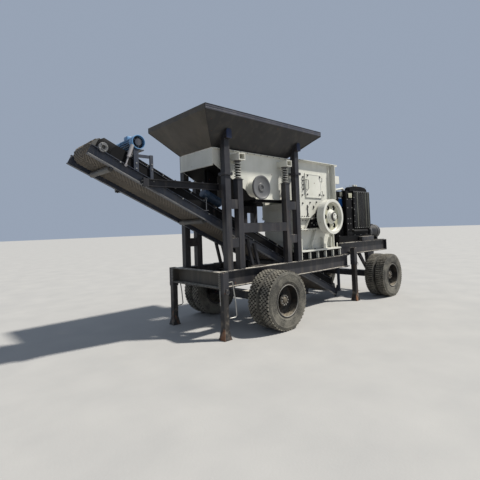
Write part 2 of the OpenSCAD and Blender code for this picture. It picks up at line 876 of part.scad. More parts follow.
// The outline of the funnel seen along the machine, its sides drawn in by inset.
module funnel_end(inset) {
    translate([-hopper_len, 0, 0]) rotate([90, 0, 90]) linear_extrude(3 * hopper_len) polygon([
        [-throat_y + inset, hopper_z], [throat_y - inset, hopper_z],
        [hopper_w / 2 - inset, rim_z], [-hopper_w / 2 + inset, rim_z]
    ]);
}

// A sloping long wall: the funnel's skin on the far side.
module long_wall() {
    intersection() {
        funnel_side(0);
        translate([-hopper_len, 0, 0]) rotate([90, 0, 90]) linear_extrude(3 * hopper_len) polygon([
            [throat_y - hopper_t, hopper_z], [throat_y, hopper_z],
            [hopper_w / 2, rim_z], [hopper_w / 2 - hopper_t, rim_z]
        ]);
    }
}

// A sloping end wall between the long walls: low and high are its outer edge's places.
module end_wall(low, high, inset) {
    intersection() {
        funnel_end(hopper_t);
        across(-hopper_w, hopper_w) polygon([
            [low, hopper_z], [low + inset, hopper_z], [high + inset, rim_z], [high, rim_z]
        ]);
    }
}

// The upright band round the rim on a long side.
module long_rim() {
    y = hopper_w / 2;
    span([-hopper_front, y - hopper_t, rim_z], [hopper_end, y, hopper_top]);
    span([-hopper_front, y - 1, rim_z], [hopper_end, y + rim_lip, rim_z + 8]);
    span([-hopper_front, y - 1, hopper_top - 8], [hopper_end, y + rim_lip, hopper_top]);
}

module hopper_far() {
    color(black_steel) placed() {
        long_wall();
        long_rim();
    }
}

module hopper_near() {
    mirror([0, 1, 0]) hopper_far();
}

module hopper_front_wall() {
    inner = hopper_w / 2 - hopper_t;
    color(black_steel) placed() {
        end_wall(throat_x, -hopper_front, hopper_t);
        span([-hopper_front, -inner, rim_z], [-hopper_front + hopper_t, inner, hopper_top]);
    }
}

module hopper_rear_wall() {
    inner = hopper_w / 2 - hopper_t;
    color(black_steel) placed() {
        end_wall(throat_end, hopper_end, -hopper_t);
        span([hopper_end - hopper_t, -inner, rim_z], [hopper_end, inner, hopper_top]);
    }
}

// Feeder: one side plate with its sloping lower edge, its top flange and an end lip.
module feeder_side() {
    y = feeder_w / 2;
    low = feeder_top - feeder_front_h;
    color(cream) placed() {
        across(y - feeder_t, y) polygon([
            [feeder_x, low], [feeder_x, feeder_top], [feeder_end, feeder_top],
            [feeder_end, feeder_bottom], [feeder_knee_x, feeder_bottom]
        ]);
        span([feeder_x, y - 1, feeder_top - 12], [feeder_end, y + 45, feeder_top]);
        span([feeder_knee_x, y - 1, feeder_bottom], [feeder_end, y + 30, feeder_bottom + 12]);
    }
}

module feeder_side_near() {
    mirror([0, 1, 0]) feeder_side();
}

module feeder_side_far() {
    feeder_side();
}

// The trough's floor, its front plate and the grizzly bars.
module feeder_pan() {
    inner = feeder_w / 2 - feeder_t;
    low = feeder_top - feeder_front_h;
    floor_z = low + floor_rise;
    bar_x = feeder_end - bar_len;
    fall = floor_drop / (feeder_end - feeder_x);
    pitch = (2 * inner - bar_w) / (bars - 1);
    color(cream) placed() {
        span([feeder_x - feeder_t, -feeder_w / 2, low - 40], [feeder_x, feeder_w / 2, feeder_top]);
        across(-inner, inner) polygon([
            [feeder_x - 1, floor_z], [bar_x, floor_z - fall * (bar_x - feeder_x)],
            [bar_x, floor_z - fall * (bar_x - feeder_x) - 12], [feeder_x - 1, floor_z - 12]
        ]);
        for (i = [0 : bars - 1]) {
            y = -inner + i * pitch;
            across(y, y + bar_w) polygon([
                [bar_x - 1, floor_z - fall * (bar_x - feeder_x)], [feeder_end, floor_z - floor_drop],
                [feeder_end, floor_z - floor_drop - 25],
                [bar_x - 1, floor_z - fall * (bar_x - feeder_x) - 70]
            ]);
        }
        span([bar_x - 1, -inner, floor_z - fall * (bar_x - feeder_x) - 90],
            [bar_x + 20, inner, floor_z - fall * (bar_x - feeder_x) - 60]);
    }
}

// The closed sloping underside between the side plates, and the black runners behind its knee.
module feeder_underside() {
    inner = feeder_w / 2 - feeder_t;
    low = feeder_top - feeder_front_h;
    color(black_steel) placed() {
        across(-inner, inner) polygon([
            [feeder_x, low], [feeder_knee_x, feeder_bottom],
            [feeder_knee_x, feeder_bottom + feeder_t], [feeder_x, low + feeder_t]
        ]);
        both_sides() span([feeder_knee_x - 40, feeder_w / 2 - 60, feeder_bottom - runner_h],
            [feeder_end - 30, feeder_w / 2, feeder_bottom]);
    }
}

// The four square tubes that stand out from the feeder and rest on the springs.
module bracket_tube(x) {
    difference() {
        span([x, feeder_w / 2, bracket_z], [x + bracket_w, bracket_y, bracket_z + bracket_h]);
        span([x + bracket_wall, feeder_w / 2 + 20, bracket_z + bracket_wall],
            [x + bracket_w - bracket_wall, bracket_y + 1, bracket_z + bracket_h - bracket_wall]);
    }
}

module feeder_brackets() {
    color(cream) placed() both_sides() for (x = [post_b1_x, post_b2_x])
        bracket_tube(x + post_side / 2 - bracket_w / 2);
}

// Points of one ring of a coil spring's wire, at a turn angle.
function wire_ring(angle, r, z, wire) = [
    for (k = [0 : 5]) let (a = k * 60)
        [(r + wire * cos(a)) * cos(angle), (r + wire * cos(a)) * sin(angle), z + wire * sin(a)]
];

// A coil spring that stands on z = 0.
module coil(d, h, wire, turns) {
    steps = floor(turns * 10);
    r = d / 2 - wire / 2;
    rise = h - wire;
    points = [
        for (i = [0 : steps])
            each wire_ring(i * 360 * turns / steps, r, wire / 2 + rise * i / steps, wire / 2)
    ];
    sides = [
        for (i = [0 : steps - 1]) for (k = [0 : 5])
            [i * 6 + k, i * 6 + (k + 1) % 6, (i + 1) * 6 + (k + 1) % 6, (i + 1) * 6 + k]
    ];
    first = [for (k = [5 : -1 : 0]) k];
    last = [for (k = [0 : 5]) steps * 6 + k];
    polyhedron(points, concat(sides, [first], [last]));
}

module feeder_springs() {
    color(frame_grey) placed() both_sides() for (x = [post_b1_x, post_b2_x])
        translate([x + post_side / 2, post_y, spring_post_top]) {
            cylinder(d = spring_d + 10, h = seat_t, $fn = 48);
            translate([0, 0, seat_t - wire_d / 3])
                coil(spring_d, spring_h - seat_t + 2 * wire_d / 3, wire_d, spring_turns);
            translate([0, 0, spring_h]) cylinder(d = spring_d + 10, h = seat_t, $fn = 48);
        }
}

// The round housing of the exciter on the near side of the feeder.
module exciter_housing() {
    y = feeder_w / 2;
    color(cream) placed() mirror([0, 1, 0]) difference() {
        union() {
            round_y(exciter_x, exciter_z, y, exciter_housing_y, exciter_housing_d, 96);
            round_y(exciter_x, exciter_z, y, y + 20, exciter_housing_d + 30, 96);
        }
        round_y(exciter_x, exciter_z, y + 30, exciter_housing_y + 1, exciter_shaft_d + 2 * fit);
    }
}

// The grey pulley disc with its stub of shaft.
module exciter_disc() {
    face = exciter_housing_y + exciter_gap;
    color(disc_grey) placed() mirror([0, 1, 0]) difference() {
        union() {
            round_y(exciter_x, exciter_z, face, face + exciter_t, exciter_d, 96);
            round_y(exciter_x, exciter_z, feeder_w / 2 + 40, face + 1, exciter_shaft_d);
        }
        round_y(exciter_x, exciter_z, face + exciter_t - 20, face + exciter_t + 1, 70);
        rotate_groove(face);
    }
}

// The belt groove round the disc.
module rotate_groove(face) {
    translate([exciter_x, face + exciter_t / 2, exciter_z]) rotate([-90, 0, 0])
        rotate_extrude($fn = 96) polygon([
            [exciter_d / 2 - 14, -4], [exciter_d / 2 + 1, -10], [exciter_d / 2 + 1, 10],
            [exciter_d / 2 - 14, 4]
        ]);
}

// Height of the feeder's sloping underside at a place along it.
function under_z(x) = let (low = feeder_top - feeder_front_h)
    low - (x - feeder_x) * (low - feeder_bottom) / (feeder_knee_x - feeder_x);

// The feeder's drive motor, hung on two plates from the sloping underside, in line with the belt.
module feeder_motor() {
    x = feeder_motor_x;
    z = feeder_motor_z;
    len = feeder_motor_len;
    plate = 0.27 * len;
    low = [x - plate * cos(slope), z + plate * sin(slope)];
    high = [x + plate * cos(slope), z - plate * sin(slope)];
    color(engine_blue) placed() {
        translate([x, -feeder_motor_y, z]) rotate([0, 90 + slope, 0]) {
            translate([0, 0, -0.5 * len]) cylinder(d = feeder_motor_d, h = 0.25 * len, $fn = 64);
            translate([0, 0, -0.25 * len - 1])
                cylinder(d = feeder_motor_d * 0.86, h = 0.65 * len, $fn = 64);
            translate([0, 0, 0.4 * len - 2]) cylinder(d = feeder_motor_d, h = 0.1 * len, $fn = 64);
        }
        for (y = [-feeder_motor_y - 45, -feeder_motor_y + 31]) across(y, y + 14)
            polygon([low, high, [high[0], under_z(high[0])], [low[0], under_z(low[0])]]);
    }
}

// Crusher: one side wall of the lower body with its ribs, its flange and the side cover over it.
module crusher_side() {
    y = body_y;
    rib = 22;
    out = crusher_y + 10;
    foot_ribs = [crusher_x + 20, shaft_x + 20, crusher_end - 220, crusher_end - 120];
    color(cream) placed() {
        difference() {
            union() {
                span([crusher_x, y - crusher_t, wall_z], [crusher_end, y, hood_z]);
                across(y - 1, crusher_y) polygon([
                    [crusher_x, ledge_z], [crusher_x, hood_z], [cover_end, hood_z], [cover_end, shaft_z + 240],
                    [shaft_x - 100, shaft_z + 180], [shaft_x - 430, ledge_z]
                ]);
                across(y - 1, crusher_y) polygon([
                    [shaft_x - 450, ledge_z + 1], [shaft_x - 428, ledge_z + 1],
                    [shaft_x - 588, flange_z + 22], [shaft_x - 610, flange_z + 22]
                ]);
                span([crusher_x - 10, y - 1, flange_z], [shaft_x - 240, out + 30, flange_z + 25]);
                across(y - 1, out) polygon([
                    [shaft_x - 230, flange_z + 1], [shaft_x - 200, flange_z + 1],
                    [shaft_x - 450, wall_z], [shaft_x - 480, wall_z]
                ]);
                for (x = foot_ribs) span([x, y - 1, wall_z], [x + rib, out, wall_z + 240]);
                span([crusher_end - 120, y - 1, wall_z], [crusher_end - 120 + rib, out, hood_z]);
            }
            round_y(shaft_x, shaft_z, y - crusher_t - 1, crusher_y + 61, shaft_d + 2 * fit);
        }
    }
}

module crusher_side_near() {
    mirror([0, 1, 0]) crusher_side();
}

module crusher_side_far() {
    crusher_side();
}

// The front wall behind the fixed jaw and the rear wall with its ribs.
module crusher_end_walls() {
    inner = body_y - crusher_t;
    rib = 22;
    color(cream) placed() {
        span([crusher_x, -inner, wall_z], [crusher_x + crusher_t, inner, hood_z - 60]);
        span([crusher_end - crusher_t, -inner, wall_z], [crusher_end, inner, hood_z]);
        for (z = [wall_z + 195, flange_z + 15, ledge_z + 15, ledge_z + 245])
            span([crusher_x - 45, -inner, z], [crusher_x + 1, inner, z + rib]);
        for (z = [wall_z + 195, flange_z + 65, ledge_z + 115])
            span([crusher_end - 1, -inner, z], [crusher_end + 38, inner, z + rib]);
    }
}

// The plate hood over the mouth: side plates, rear plate and roof, open towards the feeder.
module crusher_hood() {
    y = crusher_y;
    color(cream) placed() {
        difference() {
            span([crusher_x, -y, hood_z], [crusher_end, -y + hood_t, hood_top - hood_t]);
            span([door_x + 25, -y - 1, door_z + 25],
                [door_x + door_len - 25, -y + hood_t + 1, door_z + door_h - 25]);
        }
        span([crusher_x, y - hood_t, hood_z], [crusher_end, y, hood_top - hood_t]);
        span([crusher_end - hood_t, -y + 1, hood_z], [crusher_end, y - 1, hood_top - hood_t]);
        difference() {
            span([crusher_x - 10, -y - 40, hood_top - hood_t - 18], [roof_end, y + 40, hood_top]);
            span([crusher_x + 60, -y + hood_t, hood_top - hood_t - 19],
                [crusher_x + 620, y - hood_t, hood_top + 1]);
        }
        both_sides() {
            span([cover_end - 20, y - 1, hood_z], [cover_end, y + 30, hood_top - 29]);
            span([crusher_end - 22, y - 1, hood_z], [crusher_end, y + 30, hood_top - 29]);
        }
        span([crusher_end - 1, -y, hood_top - 430], [crusher_end + 240, -y + 250, hood_top - 245]);
        for (z = knuckles) hinge_lugs(z);
    }
}

// The two lugs and the pin that hold one of the door's knuckles.
module hinge_lugs(z) {
    lug = 20;
    for (low = [z - lug - 0.5, z + knuckle_h + 0.5]) {
        translate([hinge_x, -hinge_y, low]) cylinder(d = knuckle_d, h = lug, $fn = 32);
        span([hinge_x - knuckle_d / 2, -hinge_y, low], [hinge_x + knuckle_d / 2, -crusher_y + 1, low + lug]);
    }
    translate([hinge_x, -hinge_y, z - lug]) cylinder(d = pin_d, h = knuckle_h + 2 * lug, $fn = 32);
}

// The two beams under the crusher, and the flange plates on top.
module crusher_base() {
    color(black_steel) placed() both_sides()
        i_beam(base_x, base_end, base_y, rail_top, base_h, rail_w, base_flange, 12);
}

// The pale stiffener plates of those beams and the crusher's foot plates on them.
module base_stiffeners() {
    step = (base_end - base_x - 76) / 5;
    color(cream) placed() both_sides() {
        span([base_x, body_y - crusher_t - 10, base_top], [base_end, base_plate_y, wall_z]);
        for (i = [0 : 5])
            span([base_x + 30 + i * step, base_y + 6, rail_top + base_flange],
                [base_x + 46 + i * step, base_y + rail_w / 2, base_top - base_flange]);
    }
}

// The fixed jaw: a toothed plate on the front wall, its teeth upright.
module fixed_jaw() {
    inner = body_y - crusher_t - 2;
    back = crusher_x + crusher_t;
    teeth = 12;
    pitch = 2 * inner / teeth;
    low = wall_z + 60;
    high = hood_z - 80;
    profile = [
        for (i = [0 : teeth - 1]) each [
            [back + jaw_t - 25, -inner + i * pitch], [back + jaw_t, -inner + (i + 0.5) * pitch]
        ]
    ];
    color(disc_grey) placed() translate([0, 0, low]) linear_extrude(high - low) polygon(
        concat([[back, inner], [back, -inner]], profile, [[back + jaw_t - 25, inner]])
    );
}

// The swing jaw: a leaning casting round the shaft with a toothed face.
module swing_jaw() {
    inner = body_y - crusher_t - 12;
    face = crusher_x + crusher_t + jaw_t;
    low = wall_z + 60;
    high = hood_z - 80;
    boss = shaft_d + 120;
    color(disc_grey) placed() difference() {
        union() {
            across(-inner, inner) polygon([
                [face + mouth, high], [face + mouth + 90, high + 20], [shaft_x + 120, shaft_z + 20],
                [shaft_x + 60, shaft_z - 130], [face + jaw_gap + 320, low + 260],
                [face + jaw_gap + 200, low], [face + jaw_gap, low]
            ]);
            round_y(shaft_x, shaft_z, -inner, inner, boss);
        }
        round_y(shaft_x, shaft_z, -inner - 1, inner + 1, shaft_d + 2 * fit);
    }
}

// The two split bearing housings on the crusher's sides, on their pedestals with a foot flange.
module bearing_housing() {
    y = body_y;
    difference() {
        union() {
            round_y(shaft_x, shaft_z, y, crusher_y + housing_w, housing_d, 96);
            round_y(shaft_x, shaft_z, y, crusher_y + housing_w + 15, shaft_d + 60, 64);
            across(y, crusher_y + housing_w - 40) polygon([
                [shaft_x - pedestal_front, flange_z + 40], [shaft_x - pedestal_front + 140, ledge_z - 20],
                [shaft_x - 200, shaft_z - 60], [shaft_x + 200, shaft_z - 60],
                [shaft_x + pedestal_rear, flange_z + 40]
            ]);
            span([shaft_x - pedestal_front + 110, y, flange_z + 75],
                [shaft_x + pedestal_rear, crusher_y + housing_w - 10, flange_z + 95]);
        }
        round_y(shaft_x, shaft_z, y - 1, crusher_y + housing_w + 20, shaft_d + 2 * fit);
    }
}

module bearing_housings() {
    color(black_steel) placed() both_sides() bearing_housing();
}

// The eccentric shaft through both walls, with its end caps.
module crusher_shaft() {
    end = flywheel_y + flywheel_w + 30;
    color(rim_grey) placed() round_y(shaft_x, shaft_z, -end, end, shaft_d);
}

// A spoked flywheel round the shaft, with oval holes in its web.
module flywheel() {
    r = flywheel_d / 2;
    hub = shaft_d / 2 + 60;
    web_y = flywheel_y + flywheel_w / 2;
    color(cream) placed() translate([shaft_x, 0, shaft_z]) difference() {
        rotate([-90, 0, 0]) rotate_extrude($fn = 128) polygon([
            [shaft_d / 2 + fit, flywheel_y], [hub, flywheel_y], [hub, web_y - 20], [r - 75, web_y - 20],
            [r - 75, flywheel_y + 5], [r, flywheel_y + 5], [r, flywheel_y + flywheel_w], [r - 75, flywheel_y + flywheel_w],
            [r - 75, web_y + 20], [hub, web_y + 20], [hub, flywheel_y + flywheel_w],
            [shaft_d / 2 + fit, flywheel_y + flywheel_w]
        ]);
        for (i = [0 : 5]) rotate([0, i * 60, 0]) translate([(r - 75 + hub) / 2, 0, 0])
            rotate([-90, 0, 0]) translate([0, 0, web_y - 30]) cylinder(d = 112, h = 60, $fn = 48);
    }
}

module flywheel_far() {
    flywheel();
}

module flywheel_near() {
    mirror([0, 1, 0]) flywheel();
}

// The inspection door on the near side of the hood, with its hinge knuckles and its handle.
module crusher_door() {
    y = crusher_y + 1;
    color(cream) placed() mirror([0, 1, 0]) {
        span([door_x, y, door_z], [door_x + door_len, y + door_t, door_z + door_h]);
        for (z = knuckles) difference() {
            union() {
                span([door_x + door_len - 60, y + door_t - 1, z], [hinge_x, y + door_t + 8, z + knuckle_h]);
                translate([hinge_x, hinge_y, z]) cylinder(d = knuckle_d, h = knuckle_h, $fn = 32);
            }
            translate([hinge_x, hinge_y, z - 1]) cylinder(d = pin_d + 2 * fit, h = knuckle_h + 2, $fn = 32);
        }
        span([door_x + 20, y + door_t - 1, door_z + 170], [door_x + 34, y + door_t + 40, door_z + 184]);
        span([door_x + 20, y + door_t - 1, door_z + 400], [door_x + 34, y + door_t + 40, door_z + 414]);
        span([door_x + 20, y + door_t + 26, door_z + 170], [door_x + 34, y + door_t + 40, door_z + 414]);
    }
}

// The engine across the chassis: block, sump, heads, drive pulley, air cleaner and exhaust, with
// the grey control box ahead of it and the cases round it.
module engine() {
    z = skid_top;
    crank_z = z + crank_rise;
    pulley_y = flywheel_y + 20;
    pulley_end = flywheel_y + flywheel_w - 20;
    half = block_w / 2;
    block_z = z + sump_h;
    head_z0 = block_z + block_h;
    pitch = (block_w - 80) / 4;
    box_top = z + control_h;
    box_end = control_w - control_y;
    cleaner_z = box_top + cleaner_d / 2 + 20;
    manifold = head_z0 + 20;
    color(engine_blue) placed() {
        span([crank_x - block_len / 2, engine_y - half, block_z], [crank_x + block_len / 2, engine_y + half, head_z0]);
        span([crank_x - block_len / 2 + 60, engine_y - half + 40, z],
            [crank_x + block_len / 2 - 60, engine_y + half - 40, block_z + 1]);
        span([crank_x - block_len / 2 + 100, engine_y - half + 20, head_z0 - 1],
            [crank_x + block_len / 2 - 100, engine_y + half - 20, head_z0 + head_h]);
        for (i = [0 : 3]) round_y(crank_x, head_z0 + head_h, engine_y - half + 50 + i * pitch,
            engine_y - half + i * pitch + pitch, 150);
        round_y(crank_x, crank_z, engine_y + half - 1, pulley_end, 80);
        round_y(crank_x, crank_z, pulley_y, pulley_end, drive_pulley_d, 96);
        round_y(skid_x + 360, cleaner_z, -control_y + 60, box_end - 50, cleaner_d, 96);
        span([skid_x + 280, -control_y + 100, box_top - 1], [skid_x + 440, box_end - 90, cleaner_z - 75]);
    }
    color(frame_grey) placed() {
        span([skid_x + 40, -control_y, z], [cabinet_x - 60, box_end, box_top]);
        span([cabinet_x - 61, -control_y + 80, z], [cabinet_x + 150, box_end, z + low_box_h]);
        span([skid_x + 60, engine_y - 50, z], [radiator_x - 150, engine_y + half + 10, z + case_h]);
        translate([radiator_x - 60, engine_y + 80, manifold]) cylinder(d = exhaust_d, h = exhaust_len, $fn = 48);
        span([radiator_x - 110, engine_y + 80 - exhaust_d / 2, manifold],
            [crank_x - block_len / 2 + 101, engine_y + 80 + exhaust_d / 2, manifold + exhaust_d]);
    }
}

// The radiator beside the engine: core, upright fins, a rounded top tank with two caps, the
// plinth under it and the control cabinet at its front end.
module radiator() {
    y = -radiator_y;
    end = radiator_x + radiator_len;
    side = core_edge;
    pitch = (radiator_len - 2 * side) / fins;
    back = y + radiator_d;
    color(black_steel) placed() {
        span([radiator_x, y + 30, cabinet_z], [end, back, radiator_top]);
        for (x = [radiator_x, end - side]) span([x, y, cabinet_z], [x + side, y + 31, radiator_top]);
        for (z = [cabinet_z, radiator_top - side])
            span([radiator_x + side - 1, y, z], [end - side + 1, y + 31, z + side]);
        for (i = [1 : fins - 1]) translate([radiator_x + side + i * pitch - 5, y + 8, cabinet_z + side - 1])
            cube([10, 23, radiator_top - cabinet_z - 2 * side + 2]);
        across(y + 20, back - 10) top_tank(radiator_x - 140, end - 90);
        for (x = [0.36, 0.52])
            translate([radiator_x + (radiator_len - 200) * x - 40, y + radiator_d / 2, radiator_top + 90])
                cylinder(d = 60, h = 62, $fn = 32);
        span([radiator_x + 20, y + 60, skid_top], [end - 40, back - 20, cabinet_z + 1]);
        span([radiator_x + 150, back - 1, skid_top + 200], [end - 150, -340, skid_top + 700]);
        span([cabinet_x, y + 40, skid_top], [radiator_x - 20, back, radiator_top]);
        span([radiator_x - 21, y + 60, cabinet_z], [radiator_x + 1, back - 20, radiator_top - 40]);
        span([cabinet_x - 60, y, skid_top], [cabinet_x - 25, y + 35, radiator_top]);
        span([cabinet_x - 60, y, radiator_top - 36], [cabinet_x + 40, y + 60, radiator_top]);
    }
}

// The low arch of the radiator's top tank, drawn in X and Z.
module top_tank(x0, x1) {
    z = radiator_top - 1;
    h = top_tank_h;
    polygon([
        [x0, z], [x0 + 30, z + 0.6 * h], [x0 + 110, z + 0.88 * h], [x0 + 300, z + h],
        [x1 - 300, z + h], [x1 - 110, z + 0.85 * h], [x1 - 30, z + 0.55 * h], [x1, z]
    ]);
}

// The pale pipe from the hood's rear wall to the top of the control cabinet.
module air_pipe() {
    y = -crusher_y + 90;
    start = [crusher_end, hood_top - 595];
    bend = [cabinet_x + 10, hood_top - 525];
    color(cream) placed() difference() {
        union() {
            rod(start, bend, y, pipe_d);
            rod(bend, [cabinet_x + 60, radiator_top + 40], y, pipe_d);
            rod([cabinet_x + 60, radiator_top + 40], [cabinet_x + 60, radiator_top - 10], y, pipe_d);
        }
        span([crusher_end - 100, y - 100, start[1] - 100], [crusher_end, y + 100, start[1] + 100]);
        span([cabinet_x - 20, y - 100, radiator_top - 100], [radiator_x, y + 100, radiator_top]);
    }
}

// The round tank behind the radiator, lying along the near rail on two saddles.
module fuel_tank() {
    z = skid_top - 120 + tank_d / 2;
    y = -radiator_y + tank_d / 2 + 20;
    color(black_steel) placed() {
        translate([tank_x, y, z]) rotate([0, 90, 0]) cylinder(d = tank_d, h = tank_len, $fn = 96);
        for (x = [tank_x + 60, tank_x + tank_len - 110]) {
            span([x, y - 130, raised_top + 11], [x + 50, y + 130, z - 60]);
            translate([x, y, z]) rotate([0, 90, 0]) cylinder(d = tank_d + 10, h = 50, $fn = 96);
        }
        span([tank_x + 30, -rail_out + 5, raised_top], [tank_x + tank_len - 30, y + 150, raised_top + 12]);
        translate([tank_x + tank_len / 2, y, z + tank_d / 2 - 5]) cylinder(d = 80, h = 45, $fn = 32);
    }
}

// The skid under the power pack: two channels with cross plates.
module engine_skid() {
    y = skid_w / 2;
    color(frame_grey) placed() {
        both_sides() span([skid_x, y - 90, raised_top], [skid_end, y, skid_top]);
        for (x = [skid_x, (skid_x + skid_end) / 2 - 60, skid_end - 120])
            span([x, -y + 89, raised_top], [x + 120, y - 89, skid_top]);
    }
}

// The outline of a belt round two circles on the X axis, run apart, its arcs in steps of 5 degrees.
function belt_points(big, small, run) = let (lean = asin((big - small) / run)) concat(
    [for (i = [0 : 36]) let (a = 90 - lean + i * (180 + 2 * lean) / 36) [big * cos(a), big * sin(a)]],
    [for (i = [0 : 36]) let (a = -90 + lean + i * (180 - 2 * lean) / 36)
        [run + small * cos(a), small * sin(a)]]
);

// The flat drive belt between the engine's pulley and the far flywheel, one closed loop.
module drive_belt() {
    crank_z = skid_top + crank_rise;
    big = flywheel_d / 2 + 1;
    small = drive_pulley_d / 2 + 1;
    rise = crank_z - shaft_z;
    run = sqrt(pow(crank_x - shaft_x, 2) + pow(rise, 2));
    tilt = atan2(rise, crank_x - shaft_x);
    y0 = flywheel_y + 30;
    color(rubber) placed() translate([shaft_x, y0 + drive_belt_w, shaft_z]) rotate([90, -tilt, 0])
        linear_extrude(drive_belt_w) difference() {
            polygon(belt_points(big + belt_t, small + belt_t, run));
            polygon(belt_points(big, small, run));
        }
}

// Conveyor: two channels with their flanges outwards, ties between them, the tail's end plates
// and the hanger posts that carry the tail from the rails.
module conveyor_frame() {
    x0 = -head_overhang;
    x1 = belt_len + tail_overhang;
    low = channel_bottom;
    color(frame_grey) {
        on_conveyor() {
            both_sides() {
                span([x0, channel_web_y, low], [x1, channel_web_y + channel_t, -axis_drop]);
                span([x0, channel_web_y, low], [x1, channel_y, low + channel_t]);
                span([x0, channel_web_y, -axis_drop - channel_t], [x1, channel_y, -axis_drop]);
                span([x1 - 10, channel_web_y, low - 40], [x1, channel_y, -axis_drop + 100]);
            }
            for (x = [600, 1800, 3000, 4200, 5400])
                span([x, -channel_web_y - 1, -axis_drop - 70], [x + 60, channel_web_y + 1, -axis_drop - 10]);
        }
        placed() both_sides() {
            span([hanger_x, channel_y - 1, hanger_low],
                [hanger_x + hanger_side, channel_y + hanger_side, rail_bottom]);
            span([hanger_x, channel_y - 1, rail_bottom - 12], [hanger_x + 110, rail_out - 5, rail_bottom]);
        }
    }
}

// The rubber belt: one closed loop round both pulleys.
module conveyor_belt() {
    color(rubber) on_conveyor() across(-belt_w / 2, belt_w / 2) difference() {
        belt_loop(belt_r);
        belt_loop(pulley_r + seat);
    }
}

module belt_loop(r) {
    circle(r = r, $fn = 96);
    translate([belt_len, 0]) circle(r = r, $fn = 96);
    translate([0, -r]) square([belt_len, 2 * r]);
}

// Both pulleys on their shafts and bearings, the carrying rollers, and the return rollers.
module conveyor_rollers() {
    end = channel_y - 12;
    carry_z = pulley_r - roller_d / 2 - 0.5;
    back_z = -belt_r - roller_d / 2 - 0.5;
    count = floor((belt_len - 2 * pulley_r) / roller_pitch);
    color(black_steel) on_conveyor() {
        for (x = [0, belt_len]) {
            round_y(x, 0, -belt_w / 2 - 15, belt_w / 2 + 15, 2 * pulley_r, 96);
            round_y(x, 0, -end, end, 60);
            both_sides() span([x - 70, channel_web_y + 4, -axis_drop], [x + 70, end - 2, -5]);
            both_sides() round_y(x, 0, channel_web_y + 4, end - 2, 2 * axis_drop - 4);
        }
        for (i = [1 : count]) {
            x = i * belt_len / (count + 1);
            round_y(x, carry_z, -belt_w / 2 - 20, belt_w / 2 + 20, roller_d);
            round_y(x, carry_z, -channel_web_y - 10, channel_web_y + 10, 24, 32);
            both_sides() span([x - 20, channel_web_y + 2, -axis_drop],
                [x + 20, channel_web_y + 10, carry_z + 20]);
        }
        for (x = [240, 2050, 4100]) {
            round_y(x, back_z, -belt_w / 2 - 30, belt_w / 2 + 30, roller_d);
            round_y(x, back_z, -channel_web_y + 2, channel_web_y - 2, 24, 32);
            both_sides() span([x - 20, channel_web_y - 10, back_z - 20],
                [x + 20, channel_web_y, channel_bottom + 60]);
        }
    }
}

// The upright skirt boards along the upper run, their front corners cut off.
module conveyor_skirts() {
    x0 = skirt_start;
    x1 = belt_len - 90;
    low = -axis_drop;
    top = low + skirt_h;
    color(black_steel) on_conveyor() both_sides() across(skirt_y, skirt_y + skirt_t) polygon([
        [x0, low], [x0, top - 70], [x0 + 25, top - 20], [x0 + 75, top], [x1, top], [x1, low]
    ]);
}

// Height of the top of the conveyor's channels at a place along the machine.
function channel_top(x) = head_z - (x - head_x) * tan(slope) - axis_drop / cos(slope) + 0.05;

// An upright of the motor's portal, its foot cut to the slope of the channel.
module upright(x, w, top) {
    both_sides() across(portal_y, channel_y - 2) polygon([
        [x, channel_top(x)], [x, top], [x + w, top], [x + w, channel_top(x + w)]
    ]);
}

// The portal over the belt that carries the conveyor's motor: four uprights, two rails, a platform.
module drive_portal() {
    base = motor_z - motor_d / 2 - 2;
    rear = motor_x + portal_rear;
    color(frame_grey) placed() {
        upright(motor_x - 75, 75, base - 15);
        upright(rear, 50, base - 70);
        both_sides() span([motor_x - 10, portal_y, base - 120], [rear + 10, channel_y - 10, base - 75]);
        span([motor_x - 90, -channel_y, base - 16], [motor_x + 90, channel_y, base]);
    }
}

// The blue motor over the belt: its cowl, its finned body, the gear case and the terminal box.
module conveyor_drive() {
    x = motor_x;
    z = motor_z;
    base = z - motor_d / 2 - 2;
    near = -channel_y - 15;
    body = near + cowl_len;
    gear = near + motor_len - gear_len;
    color(motor_blue) placed() {
        round_y(x, z, near, body, motor_d, 96);
        round_y(x, z, body - 1, gear, motor_d * 0.74, 96);
        for (i = [0 : 9]) round_y(x, z, body + 15 + i * 26, body + 23 + i * 26, motor_d * 0.84, 64);
        round_y(x, z, gear - 1, near + motor_len, motor_d * 0.9, 96);
        span([x - 70, body + 10, base], [x + 70, body + 250, z]);
        span([x - 80, gear + 10, base], [x + 80, near + motor_len - 10, z]);
        span([x - 50, body + 40, z + motor_d * 0.3], [x + 50, body + 160, z + motor_d * 0.5]);
    }
}

// A channel section with its open side outwards, drawn in Y and Z from its inner lower corner.
module channel_section(w, h, t) {
    square([t, h]);
    square([w, t]);
    translate([0, h - t]) square([w, t]);
}

// The arms from the towers to the conveyor, and the struts that stand on the chassis.
module conveyor_arms() {
    arm_y = channel_y;
    color(frame_grey) placed() both_sides() {
        translate([-arm_reach, arm_y, arm_z]) rotate([90, 0, 90])
            linear_extrude(arm_reach + post_a1_x + 50) channel_section(arm_w, arm_h, 9);
        span([-arm_reach, arm_y, arm_z - 6], [-arm_reach + 90, arm_y + arm_w + 8, arm_z + arm_h + 6]);
        span([post_a1_x + 20, arm_y + 8, arm_z], [post_a1_x + 60, post_in, arm_z + arm_h]);
        round_y(-arm_reach + 45, arm_z + arm_h / 2, channel_web_y + channel_t, arm_y + 1, 40, 32);
        strut(strut_x, 505);
        strut(strut_x + 175, 410);
        span([strut_x + 90, channel_y, rail_top], [strut_x + 360, rail_y, rail_top + 15]);
    }
}

